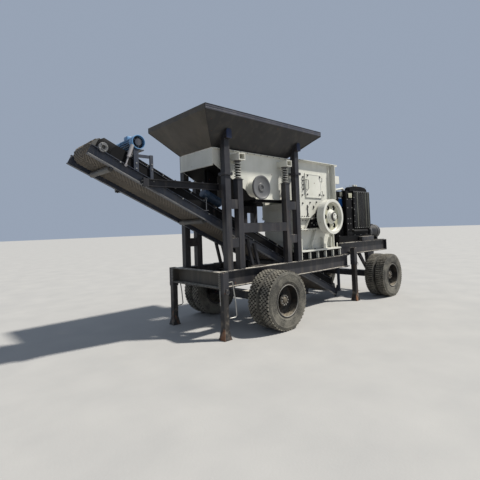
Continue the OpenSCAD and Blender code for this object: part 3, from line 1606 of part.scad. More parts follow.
// A leaning square strut beside the conveyor's channel: x is its upper end, h its height.
module strut(x, h) {
    foot = rail_top + 14;
    lean = 0.26 * h;
    across(channel_y, channel_y + 50) polygon([
        [x, foot + h], [x + 50, foot + h], [x + lean + 50, foot], [x + lean, foot]
    ]);
}

rail_near();
rail_far();
front_beam();
cross_members();
axles();
leg_sleeves();
leg_front_near();
leg_front_far();
leg_rear_near();
leg_rear_far();
tyres_front_near();
tyres_front_far();
tyres_rear_near();
tyres_rear_far();
rims_front_near();
rims_front_far();
rims_rear_near();
rims_rear_far();
tower_near();
tower_far();
hopper_near();
hopper_far();
hopper_front_wall();
hopper_rear_wall();
feeder_side_near();
feeder_side_far();
feeder_pan();
feeder_underside();
feeder_brackets();
feeder_springs();
exciter_housing();
exciter_disc();
feeder_motor();
crusher_side_near();
crusher_side_far();
crusher_end_walls();
crusher_hood();
crusher_base();
base_stiffeners();
fixed_jaw();
swing_jaw();
bearing_housings();
crusher_shaft();
flywheel_near();
flywheel_far();
crusher_door();
engine();
radiator();
fuel_tank();
engine_skid();
air_pipe();
drive_belt();
conveyor_frame();
conveyor_belt();
conveyor_rollers();
conveyor_skirts();
drive_portal();
conveyor_drive();
conveyor_arms();
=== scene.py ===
# Mobile jaw crusher on a wheeled steel chassis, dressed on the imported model: a hopper and a
# vibrating feeder on spring towers, a cream jaw crusher with flywheels, a diesel power pack, and
# a discharge conveyor that rises to the front. Metres, X to the rear, Y to the far side, Z up.
import math
from itertools import product

import bmesh
import bpy
from mathutils import Matrix, Vector


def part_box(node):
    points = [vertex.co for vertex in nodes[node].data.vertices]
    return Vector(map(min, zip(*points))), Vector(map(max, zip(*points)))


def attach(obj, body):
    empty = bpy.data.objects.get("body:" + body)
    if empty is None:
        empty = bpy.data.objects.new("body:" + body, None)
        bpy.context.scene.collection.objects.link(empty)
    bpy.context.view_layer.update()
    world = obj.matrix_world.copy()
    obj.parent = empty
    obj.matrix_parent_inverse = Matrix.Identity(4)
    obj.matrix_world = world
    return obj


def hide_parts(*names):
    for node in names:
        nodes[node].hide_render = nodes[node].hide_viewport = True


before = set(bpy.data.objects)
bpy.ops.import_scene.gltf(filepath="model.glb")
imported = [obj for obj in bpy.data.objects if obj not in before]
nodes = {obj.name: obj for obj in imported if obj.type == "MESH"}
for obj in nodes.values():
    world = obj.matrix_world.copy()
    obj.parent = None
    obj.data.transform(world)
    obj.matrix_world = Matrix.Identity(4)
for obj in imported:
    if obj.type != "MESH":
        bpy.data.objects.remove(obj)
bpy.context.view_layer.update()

scene = bpy.context.scene


# The viewpoint, the floor and the light.
# The view is from eye height off the front corner, through a fairly wide lens that looks slightly
# up. The pale floor and the soft light stand for a plain studio.
front_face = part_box("front_beam")[0].x


def at(x, y, z):
    """The place x, y, z in millimetres, with x measured from the outer face of the front beam."""
    return Vector((front_face + x / 1000, y / 1000, z / 1000))


def shown(name, data):
    """A new object in the scene."""
    made = bpy.data.objects.new(name, data)
    scene.collection.objects.link(made)
    return made


heading, tilt, roll = math.radians(42.568), math.radians(-2.344), math.radians(-1.974)
picture, focal, shift = 480, 363.05, -26.5
ahead = Vector((math.sin(heading), math.cos(heading), 0)) * math.cos(tilt)
look = ahead - Vector((0, 0, math.sin(tilt)))
level = Vector((math.cos(heading), -math.sin(heading), 0))
rise = level.cross(look)
right = level * math.cos(roll) + rise * math.sin(roll)
above = rise * math.cos(roll) - level * math.sin(roll)
lens = bpy.data.cameras.new("viewpoint")
lens.sensor_width = 36
lens.lens = lens.sensor_width * focal / picture
lens.shift_y = shift / picture
lens.clip_end = 400
viewpoint = shown("viewpoint", lens)
turn = Matrix((right, above, -look)).transposed().to_4x4()
viewpoint.matrix_world = Matrix.Translation(at(-3796, -5412, 1818)) @ turn
scene.camera = viewpoint
scene.view_settings.view_transform = "Standard"


class Tone:
    """One output in a node tree. Sums on it are written as plain Python."""

    def __init__(self, tree, socket=None):
        self.tree = tree
        self.socket = socket

    def node(self, kind, sockets=None, out=0, **settings):
        """A new node of a kind, with the values or links of its sockets and its settings."""
        made = self.tree.nodes.new(kind)
        for name, value in settings.items():
            setattr(made, name, value)
        for key, value in (sockets or {}).items():
            if isinstance(value, Tone):
                self.tree.links.new(value.socket, made.inputs[key])
            else:
                made.inputs[key].default_value = value
        return Tone(self.tree, made.outputs[out])

    def figure(self, operation, first, second):
        return self.node("ShaderNodeMath", {0: first, 1: second}, operation=operation)

    def __add__(self, other):
        return self.figure("ADD", self, other)

    def __sub__(self, other):
        return self.figure("SUBTRACT", self, other)

    def __rsub__(self, other):
        return self.figure("SUBTRACT", other, self)

    def __mul__(self, other):
        return self.figure("MULTIPLY", self, other)

    def __rtruediv__(self, other):
        return self.figure("DIVIDE", other, self)

    def between(self, low, high):
        """0 below low, 1 above high, and a smooth change between them."""
        sockets = {"Value": self, "From Min": low, "From Max": high}
        return self.node("ShaderNodeMapRange", sockets, interpolation_type="SMOOTHSTEP")

    def blend(self, bare, covered):
        """A colour that goes from bare to covered as this mask goes from 0 to 1."""
        bare, covered = (c if isinstance(c, Tone) else screen_colour(*c) for c in (bare, covered))
        return self.node("ShaderNodeMix", {0: self, 6: bare, 7: covered}, out=2, data_type="RGBA",
                         clamp_factor=True)

    def vector(self, **parts):
        return self.node("ShaderNodeCombineXYZ", parts)

    def along(self, axis):
        """How far a point lies along an axis, 0 to 2, of the object's own coordinates."""
        place = self.node("ShaderNodeTexCoord", out=3)
        return self.node("ShaderNodeSeparateXYZ", {0: place}, out=axis)


def screen_colour(*shades):
    """A colour from the 0 to 255 scale of a screen, as the shader takes it."""
    linear = [((c / 255 + 0.055) / 1.055) ** 2.4 if c > 10 else c / 255 / 12.92 for c in shades]
    return (*linear, 1)


def new_finish(name):
    """An empty finish: its material, the shader, and a Tone to start its nodes from."""
    material = bpy.data.materials.new(name)
    material.use_nodes = True
    tree = material.node_tree
    shader = next(n for n in tree.nodes if n.type == "BSDF_PRINCIPLED")
    return material, shader, Tone(tree)


def speckle(tone, scale, detail=3.0, stretch=(1, 1, 1), shift=0.0):
    """Cloudy noise on the object's own coordinates, drawn out along an axis by stretch."""
    place = tone.node("ShaderNodeTexCoord", out=3)
    sockets = {"Vector": place, "Scale": stretch, "Location": (shift, shift * 0.7, shift * 1.3)}
    place = tone.node("ShaderNodeMapping", sockets)
    return tone.node("ShaderNodeTexNoise", {"Vector": place, "Scale": scale, "Detail": detail})


def facing_up(tone):
    """How far a face looks up: 1 for a floor, 0 for a wall, -1 for an underside."""
    normal = tone.node("ShaderNodeNewGeometry", out=1)
    return tone.node("ShaderNodeSeparateXYZ", {0: normal}, out=2)


def connect(tone, shader, **inputs):
    """Puts tones on the shader's inputs, and a bump on its normal."""
    for name, value in inputs.items():
        if name == "bump":
            height, strength, distance = value
            sockets = {"Height": height, "Strength": strength, "Distance": distance}
            value, name = tone.node("ShaderNodeBump", sockets), "Normal"
        socket = shader.inputs[name.replace("_", " ")]
        if isinstance(value, Tone):
            tone.tree.links.new(value.socket, socket)
        else:
            socket.default_value = value


floor_finish, shader, tone = new_finish("studio_floor")
grain = speckle(tone, 1.4, 5)
connect(tone, shader, Base_Color=grain.blend((150, 149, 147), (168, 166, 162)), Roughness=0.9,
        bump=(speckle(tone, 40, 4), 0.12, 0.01))
mesh = bpy.data.meshes.new("studio_floor")
half = 150
mesh.from_pydata([(x * half, y * half, 0) for x, y in ((-1, -1), (1, -1), (1, 1), (-1, 1))], [],
                 [(0, 1, 2, 3)])
mesh.materials.append(floor_finish)
floor = shown("studio_floor", mesh)

sky = bpy.data.worlds.new("studio_air")
scene.world = sky
sky.use_nodes = True
sky.node_tree.nodes["Background"].inputs["Color"].default_value = (0.68, 0.80, 1.0, 1)
sky.node_tree.nodes["Background"].inputs["Strength"].default_value = 0.46
sun = bpy.data.lights.new("key_light", "SUN")
sun.energy = 5.6
sun.angle = math.radians(3)
sun.color = (1.0, 0.965, 0.9)
from_sun = Vector((0.50, -0.44, 0.92)).to_track_quat("Z", "Y")
shown("key_light", sun).matrix_world = from_sun.to_matrix().to_4x4()


# The chassis.
# Welded I-beams of rolled steel with flat stiffeners, a lower frame and raised rails at the rear,
# all in one thick coat of anthracite paint that has gathered quarry dust on its flanges.
def coated(name, fresh, faded, dust=(150, 140, 125), dusty=0.5, rusty=0.0, rough=0.45,
           streaked=0.3, grime=None, strewn=0.0, shine=0.5, shade_patch=None, metal=0.0):
    """Paint on steel: a mottled coat, dust on what faces up, streaks down the sides, rust in chips.

    strewn is how far pale crumbs hide the faces that look up, grime a colour and how far it
    covers, and oiled the X, Z and radius of a near-black patch of painted shade.
    """
    material, shader, tone = new_finish(name)
    coat = speckle(tone, 2.2, 4).between(0.32, 0.68).blend(fresh, faded)
    fine = speckle(tone, 55, 4, shift=3.0)
    streaks = speckle(tone, 9, 4, stretch=(1, 1, 0.12), shift=7.0).between(0.46, 0.72)
    lying = facing_up(tone).between(0.25, 0.95)
    patchy = speckle(tone, 6, 5, shift=11.0).between(0.30, 0.66)
    scattered = fine.between(0.55, 0.8) * (0.18 * dusty)
    powder = lying * patchy * dusty + streaks * (streaked * dusty) + scattered
    colour = powder.blend(coat, dust)
    if grime:
        soot = speckle(tone, 3.1, 6, stretch=(1, 1, 0.5), shift=23.0).between(0.50, 0.80)
        colour = (soot * grime[1]).blend(colour, grime[0])
    if rusty:
        edge = 0.70 - rusty * 0.12
        chips = speckle(tone, 20, 7, shift=17.0).between(edge, edge + 0.04 + rusty * 0.02)
        stain = speckle(tone, 5, 5, stretch=(1, 1, 0.3), shift=19.0).between(0.55, 0.85)
        colour = (stain * (rusty * 0.6)).blend(colour, (128, 84, 52))
        colour = chips.blend(colour, (92, 52, 30))
    if strewn:
        crumbs = speckle(tone, 15, 5, shift=29.0).between(0.34, 0.56)
        flat = facing_up(tone).between(0.8, 0.98)
        colour = (flat * crumbs * strewn).blend(colour, (196, 190, 178))
    # a near-black disc of painted shade, such as the shade on a wall behind a flywheel
    if shade_patch:
        x, z, radius = shade_patch
        away, over = tone.along(0) - x, tone.along(2) - z
        ring = (away * away + over * over).between((radius * 0.78) ** 2, radius ** 2)
        colour = ((1 - ring) * 0.92).blend(colour, (22, 21, 22))
    connect(tone, shader, Base_Color=colour,
            Roughness=powder * 0.45 + fine * 0.12 + (rough - 0.06), Metallic=metal,
            Specular_IOR_Level=shine, bump=(fine * 0.5 + patchy * 0.5, 0.10, 0.002))
    return material


def wear(material, *names):
    """Gives a finish to CAD nodes."""
    for name in names:
        slots = nodes[name].data.materials
        if not slots:
            slots.append(material)
        for i in range(len(slots)):
            slots[i] = material


anthracite = coated("anthracite_paint", (38, 38, 42), (50, 50, 54), dusty=0.42, rusty=0.10,
                    rough=0.42, strewn=0.9, shine=0.35)
wear(anthracite, "rail_near", "rail_far", "cross_members", "axles", "leg_sleeves", "tower_near",
     "tower_far")
dusty_beam = coated("dusty_anthracite", (58, 56, 53), (72, 69, 63), dusty=0.42, rusty=0.10,
                    rough=0.5, strewn=0.9, shine=0.35)
wear(dusty_beam, "front_beam")

welded = Matrix.Translation((front_face, 0, 0)) @ Matrix.Scale(0.001, 4)
up, down, to_near, to_far = (0, 0, 1), (0, 0, -1), (0, -1, 0), (0, 1, 0)
to_front, to_rear = (-1, 0, 0), (1, 0, 0)


def circle(count, shift=0.0):
    """The cosines and sines of the angles that part a circle into count steps."""
    angles = [2 * math.pi * (k + shift) / count for k in range(count)]
    return [(math.cos(a), math.sin(a)) for a in angles]


def spun(count, axis, centre=(0, 0, 0), shift=0.0):
    """The count ways to turn something about an axis through a centre, in equal steps."""
    for k in range(count):
        angle = 2 * math.pi * (k + shift) / count
        yield Matrix.Translation(centre) @ Matrix.Rotation(angle, 4, axis)


def corners(front, rear):
    """The four corners of the machine: the name, the place along it and the side of each."""
    for end, x in (("front", front), ("rear", rear)):
        for name, side in (("near", -1), ("far", 1)):
            yield f"{end}_{name}", x, side


class Fabrication:
    """Plates, bars and turned parts gathered into one mesh. Millimetres from the front beam."""

    def __init__(self, place=None):
        self.bm = bmesh.new()
        self.place = welded @ place if place else welded

    def shape(self, points, faces, edge=0.0):
        """A closed solid from its points and faces, with its edges rounded off by edge."""
        verts = [self.bm.verts.new(p) for p in points]
        skins = [self.bm.faces.new([verts[i] for i in face]) for face in faces]
        bmesh.ops.recalc_face_normals(self.bm, faces=skins)
        if edge:
            edges = list({e for f in skins for e in f.edges})
            bmesh.ops.bevel(self.bm, geom=edges, offset=edge, segments=2, profile=0.5,
                            affect="EDGES")

    def plate(self, low, high, edge=1.5, turn=None):
        """A box from its low corner to its high corner, then turned."""
        points = [Vector(p) for p in product(*zip(low, high))]
        faces = [(0, 1, 3, 2), (4, 6, 7, 5), (0, 4, 5, 1), (2, 3, 7, 6), (0, 2, 6, 4), (1, 5, 7, 3)]
        self.shape([turn @ p for p in points] if turn else points, faces, edge)

    def prism(self, first, last, edge=1.5):
        """A solid between an outline and the same outline at another place."""
        count = len(first)
        faces = [tuple(range(count)), tuple(range(count, 2 * count))]
        for i in range(count):
            after = (i + 1) % count
            faces.append((i, after, count + after, count + i))
        self.shape([*first, *last], faces, edge)

    def sheet(self, outline, y0, y1, edge=1.5):
        """An outline drawn in X and Z, cut from plate that lies between y0 and y1."""
        self.prism(*([(x, y, z) for x, z in outline] for y in (y0, y1)), edge)

    def cross_sheet(self, outline, x0, x1, edge=1.5):
        """An outline drawn in Y and Z, cut from plate that lies between x0 and x1."""
        self.prism(*([(x, y, z) for y, z in outline] for x in (x0, x1)), edge)

    def turned(self, profile, centre, axis=to_far, steps=64, closed=False):
        """A part turned on a lathe: profile is a list of (radius, distance along the axis)."""
        axis = Vector(axis).normalized()
        side = axis.orthogonal().normalized()
        other = axis.cross(side)
        rings = []
        for radius, along in profile:
            middle = Vector(centre) + axis * along
            spokes = [(side * c + other * s) * radius for c, s in circle(steps)]
            spokes = spokes if radius else [Vector()]
            rings.append([self.bm.verts.new(middle + spoke) for spoke in spokes])
        skins = []
        for low, high in list(zip(rings, rings[1:])) + ([(rings[-1], rings[0])] if closed else []):
            for i in range(steps):
                quad = [low[i % len(low)], low[(i + 1) % len(low)],
                        high[(i + 1) % len(high)], high[i % len(high)]]
                quad = [v for k, v in enumerate(quad) if v not in quad[:k]]
                if len(quad) > 2:
                    skins.append(self.bm.faces.new(quad))
        for ring in () if closed else (rings[0], rings[-1]):
            if len(ring) > 2:
                skins.append(self.bm.faces.new(ring))
        bmesh.ops.recalc_face_normals(self.bm, faces=skins)

    def hoop(self, inner, outer, low, high, centre, axis, steps):
        """A plain ring between two radii and between two places along its axis."""
        section = [(inner, low), (outer, low), (outer, high), (inner, high)]
        self.turned(section, centre, axis, steps, closed=True)

    def bar(self, start, end, size, sides=14):
        """A round bar between two points, its ends slightly chamfered."""
        run = Vector(end) - Vector(start)
        r, length = size / 2, run.length
        edge = min(size * 0.08, 2.0)
        profile = [(0, 0), (r - edge, 0), (r, edge), (r, length - edge), (r - edge, length),
                   (0, length)]
        self.turned(profile, start, run, sides)

    def pipe(self, points, size, sides=12):
        """A pipe or bent rod through a row of points, closed at both ends."""
        points = [Vector(p) for p in points]
        rings = []
        side = (points[1] - points[0]).orthogonal()
        for i, point in enumerate(points):
            ahead = points[min(i + 1, len(points) - 1)] - points[max(i - 1, 0)]
            ahead.normalize()
            side = (side - ahead * side.dot(ahead)).normalized()
            other = ahead.cross(side)
            rings.append([self.bm.verts.new(point + (side * c + other * s) * size / 2)
                          for c, s in circle(sides)])
        skins = [self.bm.faces.new(ring) for ring in (rings[0], rings[-1])]
        for low, high in zip(rings, rings[1:]):
            for k in range(sides):
                after = (k + 1) % sides
                skins.append(self.bm.faces.new([low[k], low[after], high[after], high[k]]))
        bmesh.ops.recalc_face_normals(self.bm, faces=skins)

    def twin(self):
        """All that has been made so far, mirrored over to the other side as well."""
        parts = [*self.bm.verts, *self.bm.edges, *self.bm.faces]
        made = bmesh.ops.duplicate(self.bm, geom=parts)["geom"]
        for part in made:
            if isinstance(part, bmesh.types.BMVert):
                part.co.y *= -1
        faces = [part for part in made if isinstance(part, bmesh.types.BMFace)]
        bmesh.ops.reverse_faces(self.bm, faces=faces)
        return self

    def done(self, name, material, slot, body="chassis", replaces=()):
        """Puts the mesh in its place on the machine, and lets it ride with a body."""
        self.bm.transform(self.place)
        for face in self.bm.faces:
            face.smooth = True
        for edge in self.bm.edges:
            soft = len(edge.link_faces) == 2 and edge.calc_face_angle(0) < math.radians(33)
            edge.smooth = soft
        mesh = bpy.data.meshes.new(name)
        self.bm.to_mesh(mesh)
        self.bm.free()
        settle(name, mesh, material, body, replaces)


def settle(name, mesh, material, body, replaces):
    """Makes a mesh a piece of the machine: its finish, its body, what it stands for."""
    mesh.name = name
    if not mesh.materials:
        mesh.materials.append(material)
    piece = shown(name, mesh)
    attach(piece, body)
    if replaces:
        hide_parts(*replaces)


class Pattern(Tone):
    """A tree of geometry nodes that lays one shape at many places, with its sizes as inputs."""

    def __init__(self, name, *sizes, whole=()):
        super().__init__(bpy.data.node_groups.new(name, "GeometryNodeTree"))
        sockets = self.tree.interface
        for way in ("OUTPUT", "INPUT"):
            sockets.new_socket("Geometry", in_out=way, socket_type="NodeSocketGeometry")
        self.keys = {}
        for label in (*sizes, "Finish"):
            kind = "Material" if label == "Finish" else "Int" if label in whole else "Float"
            socket = sockets.new_socket(label, in_out="INPUT", socket_type="NodeSocket" + kind)
            self.keys[label] = socket.identifier
        self.start = self.tree.nodes.new("NodeGroupInput")

    def given(self, label="Geometry"):
        return Tone(self.tree, self.start.outputs[label])

    def box(self, x, y, z):
        size = self.vector(X=x, Y=y, Z=z)
        sides = {"Vertices X": 2, "Vertices Y": 2, "Vertices Z": 2}
        return self.node("GeometryNodeMeshCube", {"Size": size, **sides})

    def moved(self, shape, **change):
        return self.node("GeometryNodeTransform", {0: shape, **change})

    def at_points(self, shape, points, **turned):
        sockets = {"Points": points, "Instance": shape, **turned}
        return self.node("GeometryNodeInstanceOnPoints", sockets)

    def ways(self):
        """The way that each place says it faces."""
        return self.node("GeometryNodeInputNamedAttribute", {"Name": "way"},
                         data_type="FLOAT_VECTOR")

    def finished(self, geometry):
        """Realizes the instances, gives them the finish and ends the tree."""
        real = self.node("GeometryNodeRealizeInstances", {0: geometry})
        coat = self.node("GeometryNodeSetMaterial", {0: real, "Material": self.given("Finish")})
        end = self.tree.nodes.new("NodeGroupOutput")
        self.tree.links.new(coat.socket, end.inputs[0])

    def laid(self, name, points, ways, sizes, material, slot, body="chassis", replaces=()):
        """Runs the pattern over places and their ways, and keeps the result as a plain mesh."""
        base = bpy.data.meshes.new("places")
        base.from_pydata(points, [], [])
        if ways:
            facing = base.attributes.new("way", "FLOAT_VECTOR", "POINT")
            for i, way in enumerate(ways):
                facing.data[i].vector = way
        carrier = shown(name + "_base", base)
        work = carrier.modifiers.new("pattern", "NODES")
        work.node_group = self.tree
        for label, value in {**sizes, "Finish": material}.items():
            work[self.keys[label]] = value
        graph = bpy.context.evaluated_depsgraph_get()
        mesh = bpy.data.meshes.new_from_object(carrier.evaluated_get(graph))
        bpy.data.objects.remove(carrier)
        settle(name, mesh, material, body, replaces)


bolt_pattern = p = Pattern("hex_bolts", "Across", "Head", "Washer")
radius = p.given("Across") * 0.577
head = p.node("GeometryNodeMeshCylinder", {"Vertices": 6, "Radius": radius,
                                           "Depth": p.given("Head")})
lift = p.given("Head") * 0.5 + p.given("Washer")
head = p.moved(head, Translation=p.vector(Z=lift))
disc = p.node("GeometryNodeMeshCylinder", {"Vertices": 12, "Radius": radius * 1.25,
                                           "Depth": p.given("Washer")})
disc = p.moved(disc, Translation=p.vector(Z=p.given("Washer") * 0.5))
both = p.node("GeometryNodeJoinGeometry", {0: head})
p.tree.links.new(disc.socket, both.socket.node.inputs[0])
turned = p.node("FunctionNodeAlignRotationToVector", {"Vector": p.ways()}, axis="Z")
p.finished(p.at_points(both, p.given(), Rotation=turned))


def grid(xs, ys, zs, way):
    """Places in rows, every x with every y and every z, that all face one way."""
    rows = [row if isinstance(row, (tuple, range)) else (row,) for row in (xs, ys, zs)]
    return [(place, way) for place in product(*rows)]


def ring(centre, radius, count, way, shift=0.0):
    """Places on a circle in X and Z round a centre."""
    x, y, z = centre
    return [((x + radius * c, y, z + radius * s), way) for c, s in circle(count, shift)]


def both_sides(places):
    """The places of one side, on both sides."""
    return [((x, side * y, z), (u, side * v, w)) for side in (-1, 1)
            for (x, y, z), (u, v, w) in places]


def bolts(name, material, slot, places, across=24, head=12, washer=3, body="chassis",
          place=None):
    """Hex bolts at places: each is a point in millimetres and the way that its head faces."""
    frame_of = welded @ place if place else welded
    turn = frame_of.to_3x3()
    points = [frame_of @ Vector(point) for point, way in places]
    ways = [(turn @ Vector(way)).normalized() for point, way in places]
    sizes = {"Across": across / 1000, "Head": head / 1000, "Washer": washer / 1000}
    bolt_pattern.laid(name, points, ways, sizes, material, slot, body)


zinc = coated("zinc_bolts", (168, 168, 164), (120, 118, 112), dusty=0.35, rusty=0.25, rough=0.36,
              streaked=0.1, metal=0.55)
dark_bolt = coated("painted_bolts", (60, 60, 64), (78, 76, 74), dusty=0.5, rusty=0.3, rough=0.45)

splice = grid((3830, 3900, 3970), (598, 682), 1084, down)
splice += grid((3895, 4420, 4560, 5270), 672, 1385, up)
splice += grid(6000, (520, 600), (1150, 1330), to_rear)
bolts("rail_bolts", dark_bolt, "frame_paint", both_sides(splice), across=30, head=16)

# the strip of plate with a row of holes on the near front sleeve, for its locking pin, and seams
strip = Fabrication()
hole, half = 10, 16
rim = [(half * max(-1, min(1, 1.5 * c)), half * max(-1, min(1, 1.5 * s)))
       for c, s in circle(16, 0.5)]
bore = [(hole * c, hole * s) for c, s in circle(16, 0.5)]
for row in range(9):
    for k in range(16):
        quad = rim[k - 1], rim[k], bore[k], bore[k - 1]
        strip.cross_sheet([(-735 + y, 815 + 32 * row + z) for y, z in quad], -7, -0.5, 0)
for low, high in ((560, 798), (1088, 1099)):
    strip.plate((-7, -751, low), (-0.5, -719, high), 1)
strip.done("pin_strip", zinc, "frame_paint")

seams = Fabrication()
for low, high in ((225, 345), (510, 630), (1805, 1925), (2130, 2250)):
    for x in (low, high):
        seams.bar((x, -575, 1101), (x, -689, 1101), 9, 8)
    seams.bar((low, -692, 1101), (high, -692, 1101), 9, 8)
seams.bar((141, -703, 842), (141, -703, 1080), 8, 8)
seams.bar((118, -704, 760), (118, -704, 1095), 8, 8)
seams.bar((4050, -703, 1102), (3802, -703, 1102), 8, 8)
seams.twin().done("weld_seams", anthracite, "frame_paint")


# The prop legs.
# Square steel tubes that slide in sleeves on the chassis and stand on flared feet. Their paint is
# scraped by the sleeves and rusting from the ground up, and stone dust sticks to the lower part.
leg_coat, shader, tone = new_finish("leg_paint")
worn = speckle(tone, 7, 6, stretch=(1, 1, 0.35))
low_part = 1 - tone.along(2).between(0.05, 0.62)
rust = (worn + low_part * 0.06).between(0.57, 0.67)
powder = (speckle(tone, 11, 5, shift=5.0) + low_part * 0.12).between(0.56, 0.82)
fine = speckle(tone, 60, 4, shift=9.0)
paint, scale = worn.blend((28, 27, 28), (46, 43, 41)), fine.blend((98, 62, 40), (140, 100, 70))
colour = (powder * 0.55).blend(rust.blend(paint, scale), (128, 118, 104))
connect(tone, shader, Base_Color=colour, Roughness=rust * 0.3 + powder * 0.2 + 0.45,
        bump=(fine * 0.6 + rust * 0.6, 0.25, 0.003))
wear(leg_coat, "leg_front_near", "leg_front_far", "leg_rear_near", "leg_rear_far")

front_leg, rear_leg, leg_y = 58.5, 4143.5, 763.5
for corner, x, side in corners(front_leg, rear_leg):
    y = side * leg_y
    foot = Fabrication()
    for dx, dy in ((1, 0), (-1, 0), (0, 1), (0, -1)):
        for out, half, z, size in ((50.4, 46, 146, 8), (76, 74, 16, 7)):
            ends = [(x + dx * out + way * dy * half, y + dy * out + way * dx * half, z)
                    for way in (-1, 1)]
            foot.pipe(ends, size, 8)
    foot.done(f"foot_welds_{corner}", leg_coat, "leg_paint", f"support_{corner}")

pins = Fabrication()
for x, z in ((front_leg, 812), (rear_leg, 905)):
    pins.bar((x, -822, z), (x, -852, z), 26)
    pins.bar((x, -846, z), (x, -856, z), 40, 6)
    pins.pipe([(x + 34 * s, -860, z - 30 + 34 * c) for c, s in circle(20)], 7, 8)
# the small bent rod at the side of the rear leg
rod = [(4215, 790), (4260, 790), (4285, 760), (4290, 700), (4270, 672), (4235, 668)]
pins.pipe([(x, -740, z) for x, z in rod], 14, 10)
pins.plate((4200, -756, 770), (4222, -724, 812), 2)
pins.twin().done("leg_pins", dark_bolt, "leg_paint")
# the crank rod beside each front leg, and the teeth of the rack on its sleeve
cranks = Fabrication()
rod = [(118, 930), (207, 930), (262, 600), (282, 370), (252, 340), (131, 340)]
cranks.pipe([(x, -806, z) for x, z in rod], 21, 12)
for z in range(846, 1071, 28):
    cranks.plate((-14, -724, z), (1, -706, z + 12), 1)
cranks.twin().done("leg_cranks", zinc, "leg_paint")


# The wheels.
# Four pairs of truck tyres on dished steel rims, each pair bolted back to back on one hub. The
# rubber is grey with ground-in dust, and the rims have gone brown under theirs.
tyre_rubber, shader, tone = new_finish("tyre_rubber")
patch = speckle(tone, 5, 6)
grit = speckle(tone, 70, 4, shift=4.0)
low_part = 1 - tone.along(2).between(0.02, 0.75)
powder = (patch * 0.55 + grit * 0.45 + low_part * 0.10).between(0.42, 0.66)
colour = (powder * 0.62).blend(patch.blend((44, 43, 40), (64, 62, 56)), (130, 126, 115))
connect(tone, shader, Base_Color=colour, Roughness=powder * 0.15 + 0.78, bump=(grit, 0.22, 0.003))
tread_rubber, shader, tone = new_finish("tread_rubber")
grit = speckle(tone, 42, 5, shift=6.0)
caked = speckle(tone, 7, 5, shift=8.0) * 0.5 + grit * 0.5
colour = caked.between(0.36, 0.62).blend((72, 69, 63), (136, 131, 119))
connect(tone, shader, Base_Color=colour, Roughness=0.9, bump=(grit, 0.3, 0.003))
# near-black rubber under the tread blocks: painted shade in the grooves between them
groove_shade_rubber = coated("groove_shade_rubber", (12, 12, 12), (22, 21, 20), dusty=0.12, rough=0.8,
                       shine=0.2)

lug_pattern = p = Pattern("tread_blocks", "Count", "Radius", "Depth", "Length", "Width", "Across",
                          "Slant", "Phase", whole=["Count"])
block = p.box(p.given("Depth"), p.given("Length"), p.given("Width"))
block = p.moved(block, Rotation=p.vector(X=p.given("Slant")))
block = p.moved(block, Translation=p.vector(X=p.given("Depth") * -0.5, Z=p.given("Across")))
round_tyre = p.node("GeometryNodeMeshCircle", {"Vertices": p.given("Count"),
                                               "Radius": p.given("Radius")})
step = 2 * math.pi / p.given("Count")
spin = p.vector(Z=p.node("GeometryNodeInputIndex") * step)
blocks = p.at_points(block, round_tyre, Rotation=spin)
blocks = p.moved(blocks, Rotation=p.vector(Z=p.given("Phase") * step))
p.finished(p.at_points(p.moved(blocks, Rotation=(math.pi / 2, 0, 0)), p.given()))

carcass = [(286, 74), (286, 86), (296, 95), (312, 101), (330, 107), (334, 110), (338, 108.5),
           (362, 113), (392, 115), (425, 114.5), (452, 112), (455, 113.5), (461, 113),
           (463, 110.5), (482, 105), (497, 100), (507, 93), (511, 84), (512, 60), (512, 46),
           (512, 30), (512, 12), (512, 0)]
carcass += [(r, -y) for r, y in carcass[-2::-1]]
carcass += [(275, -60), (275, 60)]
# the rows of blocks across a tread: their place, width, length, slant and phase
shoulder, beside, slanted = (36, 38, 0.06, 0.0), (32, 44, -0.18, 0.5), (36, 46, 0.18, 0.0)
front_rows = [(81, *shoulder), (42, *beside), (0, *slanted), (-42, *beside), (-81, *shoulder)]
rear_rows = [(across, 37, 27, 0.0, 0.0) for across, *rest in front_rows]
front_axle, rear_axle, axle_z = 1123, 5167, 525
for corner, x, side in corners(front_axle, rear_axle):
    body, tyre = f"wheels_{corner}", [f"tyres_{corner}"]
    middles = [(x, side * y, axle_z) for y in (845, 1125)]
    tyres, grooves = Fabrication(), Fabrication()
    for middle in middles:
        tyres.turned(carcass, middle, to_far, 96, closed=True)
        grooves.hoop(508, 513.5, -88, 88, middle, to_far, 96)
    tyres.done(f"tyre_walls_{corner}", tyre_rubber, "tyre", body, tyre)
    grooves.done(f"tyre_grooves_{corner}", groove_shade_rubber, "tyre", body, tyre)
    count, rows = (48, front_rows) if x == front_axle else (66, rear_rows)
    for number, (across, width, length, slant, phase) in enumerate(rows):
        radius, depth = (525, 15) if abs(across) < 80 else (519, 16)
        sizes = {"Count": count, "Radius": radius / 1000, "Depth": depth / 1000,
                 "Length": length / 1000, "Width": width / 1000, "Across": across / 1000,
                 "Slant": slant, "Phase": phase}
        lug_pattern.laid(f"tread_{number}_{corner}", [at(*m) for m in middles], None, sizes,
                         tread_rubber, "tyre", body, tyre)

rim_coat, shader, tone = new_finish("rim_paint")
rust = speckle(tone, 8, 6)
fine = speckle(tone, 50, 4, shift=2.0)
colour = rust.between(0.46, 0.66).blend((27, 26, 26), (50, 42, 36))
settled = facing_up(tone).between(0.15, 0.9) * fine.between(0.3, 0.6) * 0.8
connect(tone, shader, Base_Color=settled.blend(colour, (158, 148, 130)),
        Roughness=fine * 0.2 + 0.55, bump=(rust * 0.6 + fine * 0.4, 0.2, 0.003))
wear(rim_coat, "rims_front_near", "rims_front_far", "rims_rear_near", "rims_rear_far")
hub_finish = coated("hub_casting", (92, 84, 72), (62, 56, 48), dusty=0.6, rusty=0.4, rough=0.6)
rim_edge = coated("rim_edge", (138, 136, 130), (108, 106, 100), dusty=0.5, rusty=0.12, rough=0.5)

